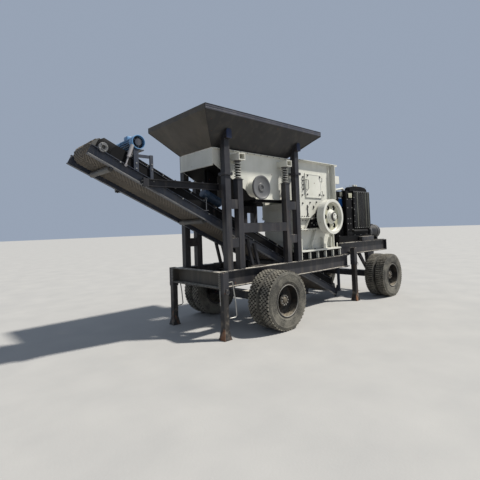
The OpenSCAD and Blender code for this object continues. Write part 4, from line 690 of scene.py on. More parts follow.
bead = [(274.6 + 7 * c, 9 * s) for c, s in circle(8)]
cap = [(0, 0), (52, 0), (54, 6), (54, 14), (46, 26), (30, 32), (12, 34), (0, 34)]
flange = [(0, 0), (98, 0), (101, 3), (101, 15), (98, 18), (0, 18)]
for corner, x, side in corners(front_axle, rear_axle):
    body, axis = f"wheels_{corner}", (0, side, 0)
    edge = Fabrication()
    edge.turned(bead, (x, side * 1222, axle_z), axis, 72, closed=True)
    edge.done(f"rim_bead_{corner}", rim_edge, "rim_paint", body)
    hub = Fabrication()
    hub.turned(cap, (x, side * 1132, axle_z), axis, 40)
    hub.turned(flange, (x, side * 1114, axle_z), axis, 40)
    valve = [(176, 1010, 645), (186, 1060, 653), (196, 1110, 661)]
    hub.pipe([(x + out, side * y, z) for out, y, z in valve], 9, 8)
    hub.done(f"hub_{corner}", hub_finish, "rim_paint", body)
    studs = ring((x, side * 1132, axle_z), 80, 10, axis)
    bolts(f"hub_bolts_{corner}", rim_edge, "rim_paint", studs, 24, 24, 2, body)
    studs = ring((x, side * 1024, axle_z), 142, 10, axis)
    bolts(f"wheel_studs_{corner}", hub_finish, "rim_paint", studs, 18, 14, 2, body)


# The towers and the hopper.
# Square tube posts welded to the rails carry the hopper and the feeder's springs. The hopper is
# folded from black plate, shiny outside and scoured by stone inside.
posts = 285, 2190
collar = []
for x, z in zip(posts, (2750, 2890)):
    for height, way in ((z + 42, up), (z, down)):
        collar += grid((x - 75, x + 75), (558, 632, 706), height, way)
bolts("collar_bolts", anthracite, "frame_paint", both_sides(collar), 15, 8, 2)

hopper_coat = coated("hopper_paint", (30, 30, 32), (42, 41, 41), dust=(112, 104, 92), dusty=0.26,
                     rusty=0.06, rough=0.42, streaked=0.5, shine=0.35)
wear(hopper_coat, "hopper_near", "hopper_far", "hopper_rear_wall")
hopper_dusty = coated("hopper_front_paint", (68, 64, 58), (84, 79, 72), dust=(124, 115, 100),
                      dusty=0.32, rusty=0.06, rough=0.55, streaked=0.6, shine=0.35)
wear(hopper_dusty, "hopper_front_wall")
rim_slate = coated("rim_slate", (58, 60, 70), (70, 71, 80), dusty=0.3, rusty=0.05, rough=0.40,
                   shine=0.4)
trim = Fabrication()
for side, (low, high) in product((-1, 1), ((100, -333), (2050, 2769))):
    trim.pipe([(low, side * 501, 3251), (high, side * 914, 3729)], 12, 8)
    trim.pipe([(high, side * 914, 3730), (high, side * 914, 3822)], 10, 8)
trim.done("hopper_seams", hopper_coat, "hopper_paint")
band = Fabrication()
band.plate((-332, -917, 3738), (2768, -912, 3768), 1)
band.plate((-332, -916, 3772), (2768, -912, 3817), 1)
band.twin().done("hopper_bands", rim_slate, "hopper_paint")
# the rounded post tops against the hopper wall: blue paint, darkened with painted shade and a
# painted sky reflection
saddles = Fabrication()
for x in posts:
    crown = [(x + 59 * c, 3492 + 59 * s) for c, s in circle(32)[:17]]
    saddles.sheet([(x - 59, 3382), (x + 59, 3382)] + crown, -763, -759, 1)
saddle_shade_blue = coated("saddle_shade_blue", (22, 36, 70), (15, 25, 50), dusty=0.10, rough=0.45, shine=0.4)
saddles.twin().done("saddle_plates", saddle_shade_blue, "frame_paint")
liner = []
for i in range(9):
    for share in (0.25, 0.6, 0.9):
        x = 160 + i * 220 + (i - 4) * share * 60
        liner.append(((x, 489 + 413 * share, 3254 + 480 * share), (0, -0.76, 0.65)))
bolts("liner_bolts", dark_bolt, "hopper_paint", both_sides(liner), 30, 8, 2)


# The vibrating feeder.
# A trough of folded plate in cream enamel, hung on square brackets that stand on coil springs, with
# a round exciter housing on the near side and its drive motor slung under the black bottom plate.
enamel = {"fresh": (212, 211, 202), "faded": (200, 200, 190), "dust": (158, 148, 128),
          "dusty": 0.24, "rusty": 0.06, "rough": 0.36, "streaked": 0.35,
          "grime": ((130, 126, 112), 0.20)}
cream = coated("cream_enamel", **enamel)
wear(cream, "feeder_side_near", "feeder_side_far", "feeder_pan", "feeder_brackets",
     "exciter_housing")
# Near-black: black paint and soot, made darker still as painted shade under the feeder and the
# machine.
soot_and_shade_black = coated("soot_and_shade_black", (7, 7, 9), (13, 13, 15), dust=(76, 72, 66), dusty=0.09,
                    rusty=0.03, rough=0.60, streaked=0.2, shine=0.12)
wear(soot_and_shade_black, "feeder_underside")

spring_steel = coated("spring_steel", (168, 168, 162), (124, 124, 121), dusty=0.4, rusty=0.3,
                      rough=0.42)
coil_pattern = p = Pattern("coil_springs", "Turns", "Radius", "Height", "Wire")
spiral = p.node("GeometryNodeCurveSpiral", {
    "Resolution": 28, "Rotations": p.given("Turns"), "Start Radius": p.given("Radius"),
    "End Radius": p.given("Radius"), "Height": p.given("Height")})
wire = p.node("GeometryNodeCurvePrimitiveCircle", {"Resolution": 10, "Radius": p.given("Wire")})
coil = p.node("GeometryNodeCurveToMesh", {"Curve": spiral, "Profile Curve": wire,
                                          "Fill Caps": True})
p.finished(p.at_points(p.node("GeometryNodeSetShadeSmooth", {0: coil}), p.given()))
seats = [(x, y) for x in (570, 1865) for y in (-632, 632)]
springs = ["feeder_springs"]
coil_pattern.laid("spring_coils", [at(x, y, 2718) for x, y in seats], None,
                  {"Turns": 6.0, "Radius": 0.055, "Height": 0.290, "Wire": 0.0115},
                  spring_steel, "spring_steel", replaces=springs)
# cups at both ends of each spring, and a near-black core in each coil: a rubber buffer whose
# darkness also paints the shade between the coils
cups, buffers = Fabrication(), Fabrication()
for x, y in seats:
    seat = (x, y, 0)
    for low, high in ((2700, 2712), (3018, 3030)):
        cups.turned([(0, low), (68, low), (70, low + 2), (70, high - 2), (68, high), (0, high)],
                    seat, up, 40)
    cups.turned([(0, 2712), (42, 2712), (42, 2740), (36, 2746), (0, 2746)], seat, up, 32)
    cups.turned([(0, 2984), (36, 2984), (42, 2990), (42, 3018), (0, 3018)], seat, up, 32)
    buffers.turned([(0, 2744), (38, 2744), (43, 2760), (43, 2970), (38, 2986), (0, 2986)],
                   seat, up, 32)
cups.done("spring_cups", dark_bolt, "spring_steel", replaces=springs)
buffers.done("spring_buffers", soot_and_shade_black, "spring_steel", replaces=springs)
# near-black plates inside and under the feeder's side plates: painted shade under the feeder
shade_plates = Fabrication()
shade_plates.plate((1180, -489, 2366), (2340, -474, 2700), 2)
shade_plates.plate((1172, -531, 2358), (2352, -474, 2366), 2)
shade_plates.twin().done("feeder_shade_plates", soot_and_shade_black, "cream_paint")
lip = Fabrication()
lip.plate((99, -500, 2931), (109, 500, 2974), 3)
lip.done("feeder_lip", cream, "cream_paint")

held = grid(range(200, 2340, 180), -545, 3228, down)
held += both_sides(grid((520, 620, 1815, 1915), 720, 3150, up))
bolts("feeder_bolts", zinc, "cream_paint", held, 20, 11, 2)
exciter_x, exciter_z = 1060, 2565
held = ring((exciter_x, -691, exciter_z), 136, 10, to_near)
bolts("exciter_bolts", zinc, "cream_paint", held, 19, 10, 2)

disc_grey = coated("disc_grey", (98, 99, 101), (82, 83, 85), dusty=0.35, rusty=0.12, rough=0.42,
                   streaked=0.2)
disc = Fabrication()
exciter = (exciter_x, 0, exciter_z)
face = [(18, 715), (212, 715), (222, 718), (225, 722), (225, 730), (211, 734), (211, 741),
        (225, 745), (225, 756), (222, 760), (200, 760), (192, 754), (120, 744), (84, 742),
        (78, 746), (76, 758), (60, 760), (40, 760), (38, 745), (18, 742)]
disc.turned(face, exciter, to_near, 96, closed=True)
disc.turned([(0, 545), (30, 545), (30, 716), (18, 716), (18, 746), (0, 746)], exciter, to_near, 40)
disc.done("exciter_pulley", disc_grey, "cast_iron", "exciter", ["exciter_disc"])
held = ring((exciter_x, -745, exciter_z), 56, 6, to_near)
bolts("exciter_hub_bolts", dark_bolt, "cast_iron", held, 13, 8, 1, "exciter")

slope = math.radians(25.4)
deep_blue = coated("deep_blue", (52, 74, 98), (36, 52, 72), dusty=0.35, rusty=0.08, rough=0.36)
motor = Fabrication(Matrix.Translation((335, -150, 2395)) @ Matrix.Rotation(slope, 4, "Y"))
motor.turned([(0, -225), (60, -225), (84, -218), (90, -206), (90, -118), (84, -112), (77, -112),
              (77, 180), (90, 182), (90, 214), (80, 225), (22, 225), (20, 236), (0, 236)],
             (0, 0, 0), to_rear, 48)
for spin in spun(24, "X"):
    motor.plate((-112, -1.5, 75), (175, 1.5, 89), 0, spin)
motor.done("feeder_motor_body", deep_blue, "engine_paint", replaces=["feeder_motor"])
hang = Fabrication()
for y in (-195, -119):
    hang.sheet([(225, 2447), (445, 2343), (445, 2784), (225, 2910)], y, y + 14)
hang.done("feeder_motor_hangers", soot_and_shade_black, "engine_paint", replaces=["feeder_motor"])


# The jaw crusher.
# A box of welded plate with a bolted hood and an inspection door, all in cream enamel, on a base
# that is near-black. Its shaft turns in black bearing housings, with a flywheel at each end.
wear(cream, "crusher_end_walls", "crusher_hood", "base_stiffeners", "crusher_door", "air_pipe")
# the crusher sides, with a disc of painted shade on the wall behind each flywheel
crusher_shaded_enamel = coated("enamel_with_painted_shade", **enamel, shade_patch=(front_face + 3.2, 2.01, 0.29))
wear(crusher_shaded_enamel, "crusher_side_near", "crusher_side_far")
wear(soot_and_shade_black, "crusher_base", "bearing_housings")
worn_steel = coated("worn_steel", (128, 124, 116), (96, 92, 86), dusty=0.4, rusty=0.35,
                    rough=0.40, metal=0.6)
wear(worn_steel, "crusher_shaft", "fixed_jaw", "swing_jaw")

wall = (2520, 2496), (3307, 2517), (2519, 2316), (2783, 2335), (3021, 2348)
held = both_sides([((x, 551, z), to_far) for x, z in wall])
bolts("wall_bolts", dark_bolt, "cream_paint", held, 30, 15, 3)
small = grid(range(2400, 2717, 79), 551, 2030, to_far)
small += grid(range(2400, 2665, 88), 491, 1946, to_far)
small += grid(range(2420, 2921, 100), 566, 1734, down)
small += grid(range(2420, 2921, 100), 566, 1761, up)
small += grid(range(2430, 3731, 130), 570, 3251, up)
for first in (2300, 2320):
    small += grid(range(first, 3481, 290), 560, 1306, up)
bolts("frame_bolts", dark_bolt, "cream_paint", both_sides(small), 19, 10, 2)
leaf = (2680, 2515), (3132, 2518), (3161, 2922), (2709, 2933)
held = [((x, -566, z), to_near) for x, z in leaf]
bolts("door_bolts", dark_bolt, "cream_paint", held, 30, 15, 3, "door")

door = Fabrication()
for x0, x1, z0, z1 in ((2628, 2646, 2443, 2972), (3196, 3214, 2443, 2972),
                       (2646, 3196, 2954, 2972), (2646, 3196, 2443, 2461)):
    door.plate((x0, -570, z0), (x1, -564, z1))
door.done("door_rim", cream, "cream_paint", "door")
handle = Fabrication()
rod = (566, 2834), (600, 2826), (606, 2800), (606, 2655), (600, 2629), (566, 2621)
handle.pipe([(2690, -y, z) for y, z in rod], 14, 10)
for z in (2834, 2621):
    handle.turned([(0, 0), (20, 0), (20, 6), (0, 6)], (2690, -564, z), to_near, 20)
handle.done("door_handle_rod", dark_bolt, "cream_paint", "door")

latches = Fabrication()
latches.plate((2668, -563, 2032), (2694, -549, 2284), 3)
latches.plate((2890, -563, 2206), (2920, -549, 2270), 3)
for x, z, size in ((2681, 2080, 34), (2681, 2236, 34), (2905, 2238, 26)):
    latches.bar((x, -560, z), (x, -577, z), size, 12)
latches.bar((2550, -572, 2600), (2550, -572, 2906), 15, 12)
for z in (2614, 2706, 2798, 2880):
    latches.plate((2535, -584, z), (2565, -549, z + 26), 4)
latches.twin().done("wall_latches", dark_bolt, "cream_paint")

ribs = Fabrication()
for x, top in ((2349, 1436), (2773, 1396), (3247, 1406), (3740, 1400)):
    ribs.plate((x - 12, -592, 1304), (x + 12, -570, top), 4)
ribs.plate((2402, -562, 1990), (3758, -548, 2002), 2)
ribs.plate((3602, -690, 2425), (3616, -548, 3221), 2)
ribs.plate((2392, -644, 3236), (3787, -586, 3249), 2)
for x in (2600, 3300):
    ear = [(x, 3249), (x + 110, 3249), (x + 90, 3300), (x + 55, 3322), (x + 20, 3300)]
    ribs.sheet(ear, -392, -380, 2)
ribs.twin()
for z in (2550, 2750, 3000):
    ribs.plate((3758, 60, z), (3772, 440, z + 14), 2)
ribs.done("crusher_ribs", cream, "cream_paint")

shaft_x, shaft_z = 3200, 2010
shaft = (shaft_x, 0, shaft_z)
housings = Fabrication()
housings.turned([(76, 640), (104, 640), (104, 677), (100, 681), (86, 681), (82, 676), (76, 676)],
                shaft, to_near, 48, closed=True)
housings.turned([(104, 655), (158, 655), (162, 659), (162, 664), (158, 668), (104, 668)],
                shaft, to_near, 48, closed=True)
housings.twin().done("bearing_covers", soot_and_shade_black, "cast_iron")
housed = ring((shaft_x, 668, shaft_z), 140, 10, to_far, 0.5)
housed += grid((2780, 2890, 3460), 636, 1831, up) + grid((2720, 2890, 3080), 621, 1880, to_far)
bolts("bearing_bolts", zinc, "cast_iron", both_sides(housed), 22, 12, 3)


# The flywheels.
# Each is a heavy rim and a stepped hub joined by a web with six round holes. The web sits deep
# between them; its darker green-grey enamel is painted shade in that recess, with some grime.
# cream darkened to green-grey, with grime: painted shade on the flywheel webs, and dull cream on
# the cabinet boxes
dull_and_shaded_cream = coated("dull_and_shaded_cream", (182, 180, 158), (164, 162, 140), dusty=0.35, rusty=0.10,
                    rough=0.5, grime=((96, 94, 78), 0.35))


def web_with_holes(made, centre, near, far, inner, outer, reach, hole, count=6, steps=48):
    """A web between two radii, as one closed sector round each of its holes."""
    outline = []
    for c, s in circle(steps):
        x, z, run = reach, 0, 2
        while inner <= math.hypot(x, z) <= outer and abs(math.atan2(z, x)) <= math.pi / count:
            x, z = reach + run * c, run * s
            run += 0.5
        outline.append((x, z))
    bore = [(reach + hole * c, hole * s) for c, s in circle(steps)]
    points = [Vector((x, y, z)) for y in (near, far) for x, z in outline + bore]
    faces = []
    for k in range(steps):
        after = (k + 1) % steps
        for a, b in ((0, 1), (2, 3), (0, 2), (1, 3)):
            a, b = a * steps, b * steps
            faces.append((a + k, a + after, b + after, b + k))
    for spin in spun(count, "Y", centre):
        made.shape([spin @ point for point in points], faces)


for name, side in (("near", -1), ("far", 1)):
    axis, node, body = (0, side, 0), [f"flywheel_{name}"], "flywheels"
    web = Fabrication()
    web_with_holes(web, shaft, side * 760, side * 800, 128, 322, 225, 56)
    web.done(f"flywheel_web_{name}", dull_and_shaded_cream, "cream_paint", body, node)
    # near-black sleeves in the web's six holes: painted shade in the holes
    holes = Fabrication()
    for (x, y, z), way in ring(shaft, 225, 6, axis):
        holes.hoop(50, 57, 757, 799, (x, y, z), axis, 32)
    holes.done(f"flywheel_hole_shade_{name}", soot_and_shade_black, "cream_paint", body, node)
    wheel = Fabrication()
    wheel.turned([(315, 697), (387, 697), (390, 700), (390, 866), (387, 870), (330, 870),
                  (326, 866), (318, 806)], shaft, axis, 128, closed=True)
    wheel.turned([(76, 692), (131, 692), (135, 696), (135, 840), (131, 844), (112, 844),
                  (108, 848), (108, 866), (104, 870), (76, 870)], shaft, axis, 72, closed=True)
    wheel.turned([(134, 799), (164, 799), (164, 808), (158, 812), (146, 814), (134, 824)],
                 shaft, axis, 72, closed=True)
    wheel.turned([(306, 799), (319, 799), (320, 812)], shaft, axis, 96, closed=True)
    wheel.done(f"flywheel_rim_{name}", cream, "cream_paint", body, node)
    lock = Fabrication()
    lock.turned([(76, 870), (100, 870), (100, 880), (96, 884), (76, 884)], shaft, axis, 56,
                closed=True)
    lock.done(f"flywheel_lock_ring_{name}", dark_bolt, "cream_paint", body, node)
    cap = Fabrication()
    cap.turned([(0, 899), (70, 899), (72, 902), (72, 908), (66, 912), (0, 912)], shaft, axis, 48)
    cap.done(f"shaft_cap_{name}", cream, "jaw_steel", body)
    held = ring((shaft_x, side * 912, shaft_z), 48, 3, axis)
    bolts(f"shaft_bolts_{name}", zinc, "jaw_steel", held, 19, 10, 2, body)


# The power pack.
# A black cabinet and a ribbed radiator face the near side, with a blue diesel across the chassis
# behind them. Its heads, filters and pipes are oily, and the exhaust has burnt brown.
engine_blue = coated("engine_blue", (34, 96, 168), (26, 74, 134), dust=(120, 112, 100), dusty=0.28,
                     rusty=0.05, rough=0.32, grime=((20, 22, 26), 0.45))
wear(engine_blue, "engine")
wear(soot_and_shade_black, "radiator", "engine_skid")
tank_paint = coated("tank_paint", (26, 27, 31), (36, 37, 41), dusty=0.25, rusty=0.08, rough=0.5,
                    shine=0.3)
wear(tank_paint, "fuel_tank")
belt_black = coated("drive_rubber", (28, 27, 26), (40, 38, 36), dusty=0.35, rough=0.75)
wear(belt_black, "drive_belt")
burnt = coated("burnt_steel", (104, 84, 68), (84, 60, 46), dusty=0.2, rusty=0.7, rough=0.62)
# grey plate: dull boxes, and the painted highlights on three radiator ribs
grey_plate_and_highlight = coated("dull_plate_and_highlight", (120, 122, 112), (104, 106, 98), dusty=0.5, rough=0.5)
light_steel = coated("light_steel", (142, 140, 142), (116, 116, 118), dusty=0.4, rusty=0.15,
                     rough=0.42)
# light grey for ribs, straps and flange lips: painted highlights on their lit edges
highlight_grey = coated("ribs_painted_highlight", (96, 96, 96), (74, 74, 76), dusty=0.5, rusty=0.1, rough=0.4)

ribs, edges = Fabrication(), Fabrication()
# three radiator ribs in paler plate: painted highlights where the light catches them
bright = 4736, 5153, 5289
for x in bright:
    edges.plate((x - 8, -604, 1742), (x + 8, -590, 2640), 3)
edges.done("radiator_rib_highlights", grey_plate_and_highlight, "radiator_paint")
# the radiator's ribs and top bar in light grey: painted highlights
for x in range(4580, 5340, 31):
    if min(abs(x - edge) for edge in bright) > 16:
        ribs.plate((x - 3, -599, 1760), (x + 3, -592, 2622))
ribs.plate((4540, -606, 2655), (5362, -598, 2668), 2)
ribs.done("radiator_ribs", highlight_grey, "radiator_paint")
panel = Fabrication()
panel.cross_sheet([(-562, 1712), (-566, 1718), (-616, 1652), (-616, 1632), (-608, 1632),
                   (-606, 1650), (-562, 1706)], 4500, 5190, 1)
for low, high in (
        ((4265, -572, 1660), (4500, -560, 2480)), ((4252, -566, 1560), (4518, -558, 1640)),
        ((3960, -452, 2496), (4300, -440, 2650)), ((3960, -452, 2236), (4085, -440, 2496)),
        ((3884, -488, 1546), (4196, -480, 2243)), ((3884, -488, 1546), (3891, -56, 2243)),
        ((3884, -488, 2234), (4196, -56, 2243)), ((3884, -60, 1546), (4196, -52, 2243)),
        ((4189, -407, 1546), (4405, -399, 1971)), ((4189, -407, 1964), (4405, -56, 1971)),
        ((3904, -18, 1546), (4396, -9, 2051)), ((3904, -18, 2044), (4396, 436, 2051)),
        ((3904, 429, 1546), (4396, 437, 2051)), ((3903, -18, 1546), (3911, 437, 2051))):
    panel.plate(low, high, 2)
for z in (1700, 2050, 2400):
    panel.bar((4262, -568, z), (4262, -568, z + 60), 16, 12)
panel.plate((4478, -584, 2040), (4492, -572, 2130), 3)
panel.plate((3905, -494, 1600), (4175, -478, 2190), 3)
panel.bar((3925, -500, 1860), (3925, -500, 1980), 14, 10)
panel.done("cabinet_panels", soot_and_shade_black, "radiator_paint")
boxes = Fabrication()
for x in (4342, 4424):
    boxes.plate((x, -586, 2490), (x + 72, -571, 2607), 3)
boxes.done("cabinet_boxes", dull_and_shaded_cream, "radiator_paint")
boxes = Fabrication()
boxes.plate((4130, -476, 2525), (4270, -452, 2632), 4)
boxes.plate((3960, -497, 2060), (4120, -493, 2150), 2)
boxes.done("dull_boxes", grey_plate_and_highlight, "radiator_paint")
boxes = Fabrication()
boxes.plate((4735, -688, 1387), (5330, -586, 1503), 5)
boxes.done("rail_box", anthracite, "frame_paint")

guard = grid(range(4575, 5328, 94), -600, (2638, 1736), to_near)
guard += grid(4560, -600, (1890, 2043, 2200, 2353, 2500), to_near)
guard += grid((4285, 4400), -573, (1842, 1968), to_near)
guard += grid((4282, 4484), -573, (1690, 2240, 2450), to_near)
guard += grid((4450, 5220), (-440, -570), 2795, up)
guard += both_sides(grid((3890, 4600, 4900, 5200), 560, 1546, up))
bolts("guard_bolts", zinc, "radiator_paint", guard, 19, 10, 2)

caps = Fabrication()
for x in (4723, 4822):
    caps.turned([(0, 2790), (37, 2790), (40, 2793), (40, 2830), (36, 2840), (0, 2842)],
                (x, -515, 0), up, 32)
    for c, s in circle(8):
        knob = (x + 39 * c, -515 + 39 * s)
        caps.bar((*knob, 2792), (*knob, 2832), 8, 8)
tank_y, tank_z = -395, 1610
caps.turned([(0, 1826), (40, 1826), (44, 1830), (44, 1842), (38, 1850), (0, 1852)],
            (5645, tank_y, 0), up, 32)
caps.done("filler_caps", cream, "radiator_paint")

# the engine's own parts: covers, filters, pipes, pulleys and the rusty exhaust
motor = Fabrication()
for i in range(4):
    y = i * 620 / 3 - 270
    motor.turned([(0, 2344), (66, 2344), (70, 2350), (70, 2372), (62, 2382), (0, 2384)],
                 (4950, y, 0), up, 32)
    motor.plate((4772, y - 34, 2206), (4792, y + 34, 2300), 5)
    motor.bar((5110, y, 2250), (5180, y, 2250), 56, 20)
for x, y in product((4678, 5208), (-240, -60, 120, 300)):
    motor.plate((x, y - 60, 1720), (x + 14, y + 60, 2080), 6)
cleaner = (4210, 0, 2370)
motor.turned([(0, -452), (96, -452), (104, -444), (104, -420), (116, -420), (116, -402),
              (0, -402)], cleaner, to_far, 48)
motor.done("engine_covers", engine_blue, "engine_paint")
pipes = Fabrication()
for start, end, size, sides in (((5208, 200, 2250), (5208, -360, 2250), 84, 24),
                                ((4640, -200, 1760), (4640, -200, 1960), 108, 28),
                                ((4640, 20, 1760), (4640, 20, 1960), 108, 28),
                                ((4950, 424, 1895), (4950, 520, 1895), 150, 32),
                                ((4790, 420, 2060), (4790, 488, 2060), 60, 20),
                                ((4210, -112, 2370), (4210, -40, 2370), 110, 28)):
    pipes.bar(start, end, size, sides)
pipes.pipe([(5208, -360, 2250), (5204, -400, 2262), (5180, -420, 2300), (5150, -428, 2360)], 74,
           16)
pipes.turned([(120, 462), (128, 466), (128, 484), (120, 488), (70, 488), (70, 462)],
             (4790, 0, 2060), to_far, 40, closed=True)
pipes.pipe([(4210, -42, 2370), (4210, 10, 2372), (4240, 60, 2382), (4300, 90, 2392),
            (4440, 96, 2396), (4580, 96, 2396), (4700, 96, 2380), (4780, 96, 2330)], 92, 16)
for y in (-395, -135):
    pipes.hoop(115, 120, y - 9, y + 9, cleaner, to_far, 48)
    pipes.plate((4130, y - 8, 2236), (4290, y + 8, 2262), 3)
pipes.done("engine_pipes", soot_and_shade_black, "engine_paint")
tubes = Fabrication()
for y in range(-270, 349, 206):
    tubes.pipe([(5140, y, 2320), (5170, y, 2350), (5190, y * 0.8, 2340), (5226, y * 0.5, 2200),
                (5232, y * 0.4, 2100)], 9, 8)
tubes.pipe([(4700, -330, 1700), (4660, -350, 1800), (4655, -350, 2100), (4640, -345, 2240)], 11, 8)
tubes.turned([(0, 0), (30, 4), (34, 40), (26, 66), (0, 70)], (4236, -430, 2178), up, 24)
tubes.hoop(8, 16, 0, 6, (4640, -345, 2246), up, 16)
tubes.hoop(25, 31, 0, 24, (4253, -460, 2712), (0.96, 0, 0.14), 24)
tubes.hoop(25, 31, 0, 24, (4310, -460, 2660), up, 24)
tubes.hoop(25, 31, 0, 22, (3768, -460, 2656), (0.99, 0, 0.13), 24)
tubes.done("engine_tubes", light_steel, "engine_paint")
stack, foot = Fabrication(), (4480, 120, 0)
stack.turned([(45, 2184), (48, 2184), (48, 2700), (52, 2704), (52, 2722), (48, 2727), (45, 2727)],
             foot, up, 40, closed=True)
stack.turned([(44, 2722), (46, 2722), (46, 2727), (30, 2726), (30, 2722)], foot, up, 40,
             closed=True)
for z in (2260, 2480):
    stack.hoop(47, 54, z, z + 16, foot, up, 40)
flap = Matrix.Translation((4532, 120, 2736)) @ Matrix.Rotation(math.radians(-24), 4, "Y")
stack.prism(*([flap @ Vector((50 * c - 52, 50 * s, z)) for c, s in circle(28)] for z in (0, 5)), 1)
stack.bar((4534, 100, 2736), (4534, 140, 2736), 12, 10)
stack.done("exhaust_stack", burnt, "engine_paint")
heads = [((4950 + 56 * c, 206.7 * i - 270 + 56 * s, 2378), up)
         for i in range(4) for c, s in circle(4, 0.5)]
heads += grid((4720, 5180), range(-300, 401, 100), 1634, down)
heads += ring((4950, 852, 1895), 110, 6, to_far)
bolts("engine_bolts", zinc, "engine_paint", heads, 17, 9, 2)

# the diesel tank at the rear end, held down by two straps, light grey as painted highlights
tank, barrel = Fabrication(), (0, tank_y, tank_z)
for x in (5430, 5810):
    tank.hoop(190, 194, x - 25, x + 25, barrel, to_rear, 64)
    tank.bar((x, tank_y, 1800), (x, tank_y, 1818), 46, 16)
    tank.bar((x, -586, 1560), (x, -586, 1650), 16, 10)
tank.done("tank_straps", highlight_grey, "frame_paint")
seam = Fabrication()
for x in (5386, 5892):
    seam.turned([(186, x), (188, x + 2), (188, x + 10), (186, x + 12), (182, x + 6)], barrel,
                to_rear, 64, closed=True)
seam.bar((5919, tank_y, 1500), (5930, tank_y, 1500), 50, 6)
seam.pipe([(5640, -330, 1786), (5640, -330, 1830), (5600, -310, 1850), (5480, -250, 1850),
           (5380, -200, 1800), (5300, -200, 1720)], 16, 10)
seam.done("tank_seams", anthracite, "frame_paint")


# The discharge conveyor.
# Two folded channels carry a ribbed belt up to the front at a steep slope, with rubber skirts along
# its edges. Everything on it wears the dust of the crushed stone that it throws off.
slate = coated("slate_paint", (40, 46, 58), (54, 59, 70), dusty=0.42, rusty=0.08, rough=0.40)
wear(slate, "conveyor_frame", "drive_portal")
arm_black = coated("arm_black", (26, 26, 30), (36, 36, 40), dusty=0.30, rusty=0.06, rough=0.5,
                   shine=0.3)
wear(arm_black, "conveyor_arms")
wear(soot_and_shade_black, "conveyor_skirts")
roller_finish = coated("roller_shells", (84, 84, 82), (54, 54, 54), dusty=0.6, rusty=0.15,
                       rough=0.5)
wear(roller_finish, "conveyor_rollers")

belt_rubber, shader, tone = new_finish("belt_rubber")
mottle = speckle(tone, 6, 6)
fine = speckle(tone, 60, 4, shift=2.0)
trodden = (mottle * 0.6 + fine * 0.4).between(0.36, 0.64)
colour = trodden.blend((56, 53, 49), (90, 83, 73))
colour = (fine.between(0.6, 0.8) * 0.4).blend(colour, (138, 122, 100))
connect(tone, shader, Base_Color=colour, Roughness=mottle * 0.15 + 0.72, bump=(fine, 0.25, 0.002))
wear(belt_rubber, "conveyor_belt")

lying = Matrix.Translation((-1780, 0, 3015)) @ Matrix.Rotation(slope, 4, "Y")
rib_rubber = coated("rib_rubber", (98, 90, 80), (82, 76, 68), dust=(140, 126, 106), dusty=0.4,
                    rough=0.75)
rib_pattern = p = Pattern("belt_ribs", "Thickness", "Length", "Height")
rib = p.box(p.given("Thickness"), p.given("Length"), p.given("Height"))
p.finished(p.at_points(rib, p.given(), Rotation=p.node("FunctionNodeEulerToRotation",
                                                       {0: p.ways()})))


def on_belt(run, radius=145.0, length=6120.0):
    """The point of the belt's outer face after a run from the head, and its tip there."""
    bend = math.pi * radius
    run %= 2 * length + 2 * bend
    if run < length:
        return run, radius, 0.0
    if run < length + bend:
        a = (run - length) / radius
        return length + radius * math.sin(a), radius * math.cos(a), a
    if run < 2 * length + bend:
        return 2 * length + bend - run, -radius, math.pi
    a = (run - 2 * length - bend) / radius
    return -radius * math.sin(a), -radius * math.cos(a), math.pi + a


spots, tips = [], []
lean, pitch, share = math.radians(35), 57.93, 65
rollers = 240, 2050, 4100
for number in range(227):
    for k in range(10):
        y = (k - 4.5) * share
        s, n, tipped = on_belt(number * pitch + abs(y) * math.tan(lean))
        if n < -144 and min(abs(s - roller) for roller in rollers) < 66:
            continue
        spots.append(welded @ lying @ Vector((s, y, n)))
        tilted = Matrix.Rotation(slope + tipped, 3, "Y")
        tilted @= Matrix.Rotation(-math.copysign(lean, y), 3, "Z")
        tips.append(Vector(tilted.to_euler()))
sizes = {"Thickness": 0.020, "Length": 0.082, "Height": 0.009}
rib_pattern.laid("belt_chevrons", spots, tips, sizes, rib_rubber, "belt_rubber")

skirt = grid(range(420, 6000, 290), 415, 122, to_far)
skirt += grid(range(300, 6100, 580), 451, -62, to_far)
bolts("skirt_bolts", zinc, "hopper_paint", both_sides(skirt), 17, 8, 2, place=lying)

trim = Fabrication(lying)
trim.plate((400, -424, 96), (6020, -414, 102), 1)
for s in rollers:
    trim.bar((s, -396, -190), (s, -428, -190), 30, 12)
trim.twin().done("conveyor_trim", slate, "frame_paint")
# a light grey strip on each channel's lower flange: a painted highlight on the lit flange
lips = Fabrication(lying)
lips.plate((-148, -452, -197), (6290, -448, -176), 1)
lips.twin().done("conveyor_lips", highlight_grey, "frame_paint")
caps = Fabrication(lying)
caps.turned([(30, 436), (64, 436), (70, 440), (70, 450), (64, 455), (42, 455), (38, 461),
             (30, 461)], (0, 0, 0), to_near, 48, closed=True)
caps.twin().done("head_bearings", disc_grey, "frame_paint")
guards = Fabrication(lying)
guards.sheet([(-95, -45), (330, -45), (330, 145), (-35, 145), (-95, 70)], -409, -402, 1)
guards.twin().done("head_guards", soot_and_shade_black, "hopper_paint")
head = ring((0, 455, 0), 54, 4, to_far, 0.5) + grid((-56, 56), 437, -25, to_far)
bolts("head_bearing_bolts", zinc, "frame_paint", both_sides(head), 17, 9, 2, place=lying)

# the take-up barrels at the head, and the thin rods with their rings and feet
barrels = Fabrication()
barrels.bar((-1358, -470, 3098), (-1424, -470, 2913), 54, 24)
barrels.bar((-1424, -470, 2913), (-1465, -470, 2796), 24, 14)
barrels.hoop(10, 20, 0, 16, (-1465, -478, 2790), to_far, 20)
barrels.bar((-1400, -440, 2980), (-1400, -470, 2980), 26, 12)
barrels.bar((-10, -446, 2335), (-10, -446, 2148), 13, 10)
barrels.plate((-44, -460, 2140), (30, -428, 2150), 2)
barrels.pipe([(17 * s - 10, -446, 2350 + 17 * c) for c, s in circle(16) + circle(1)], 7, 8)
barrels.twin().done("take_up_barrels", light_steel, "frame_paint")


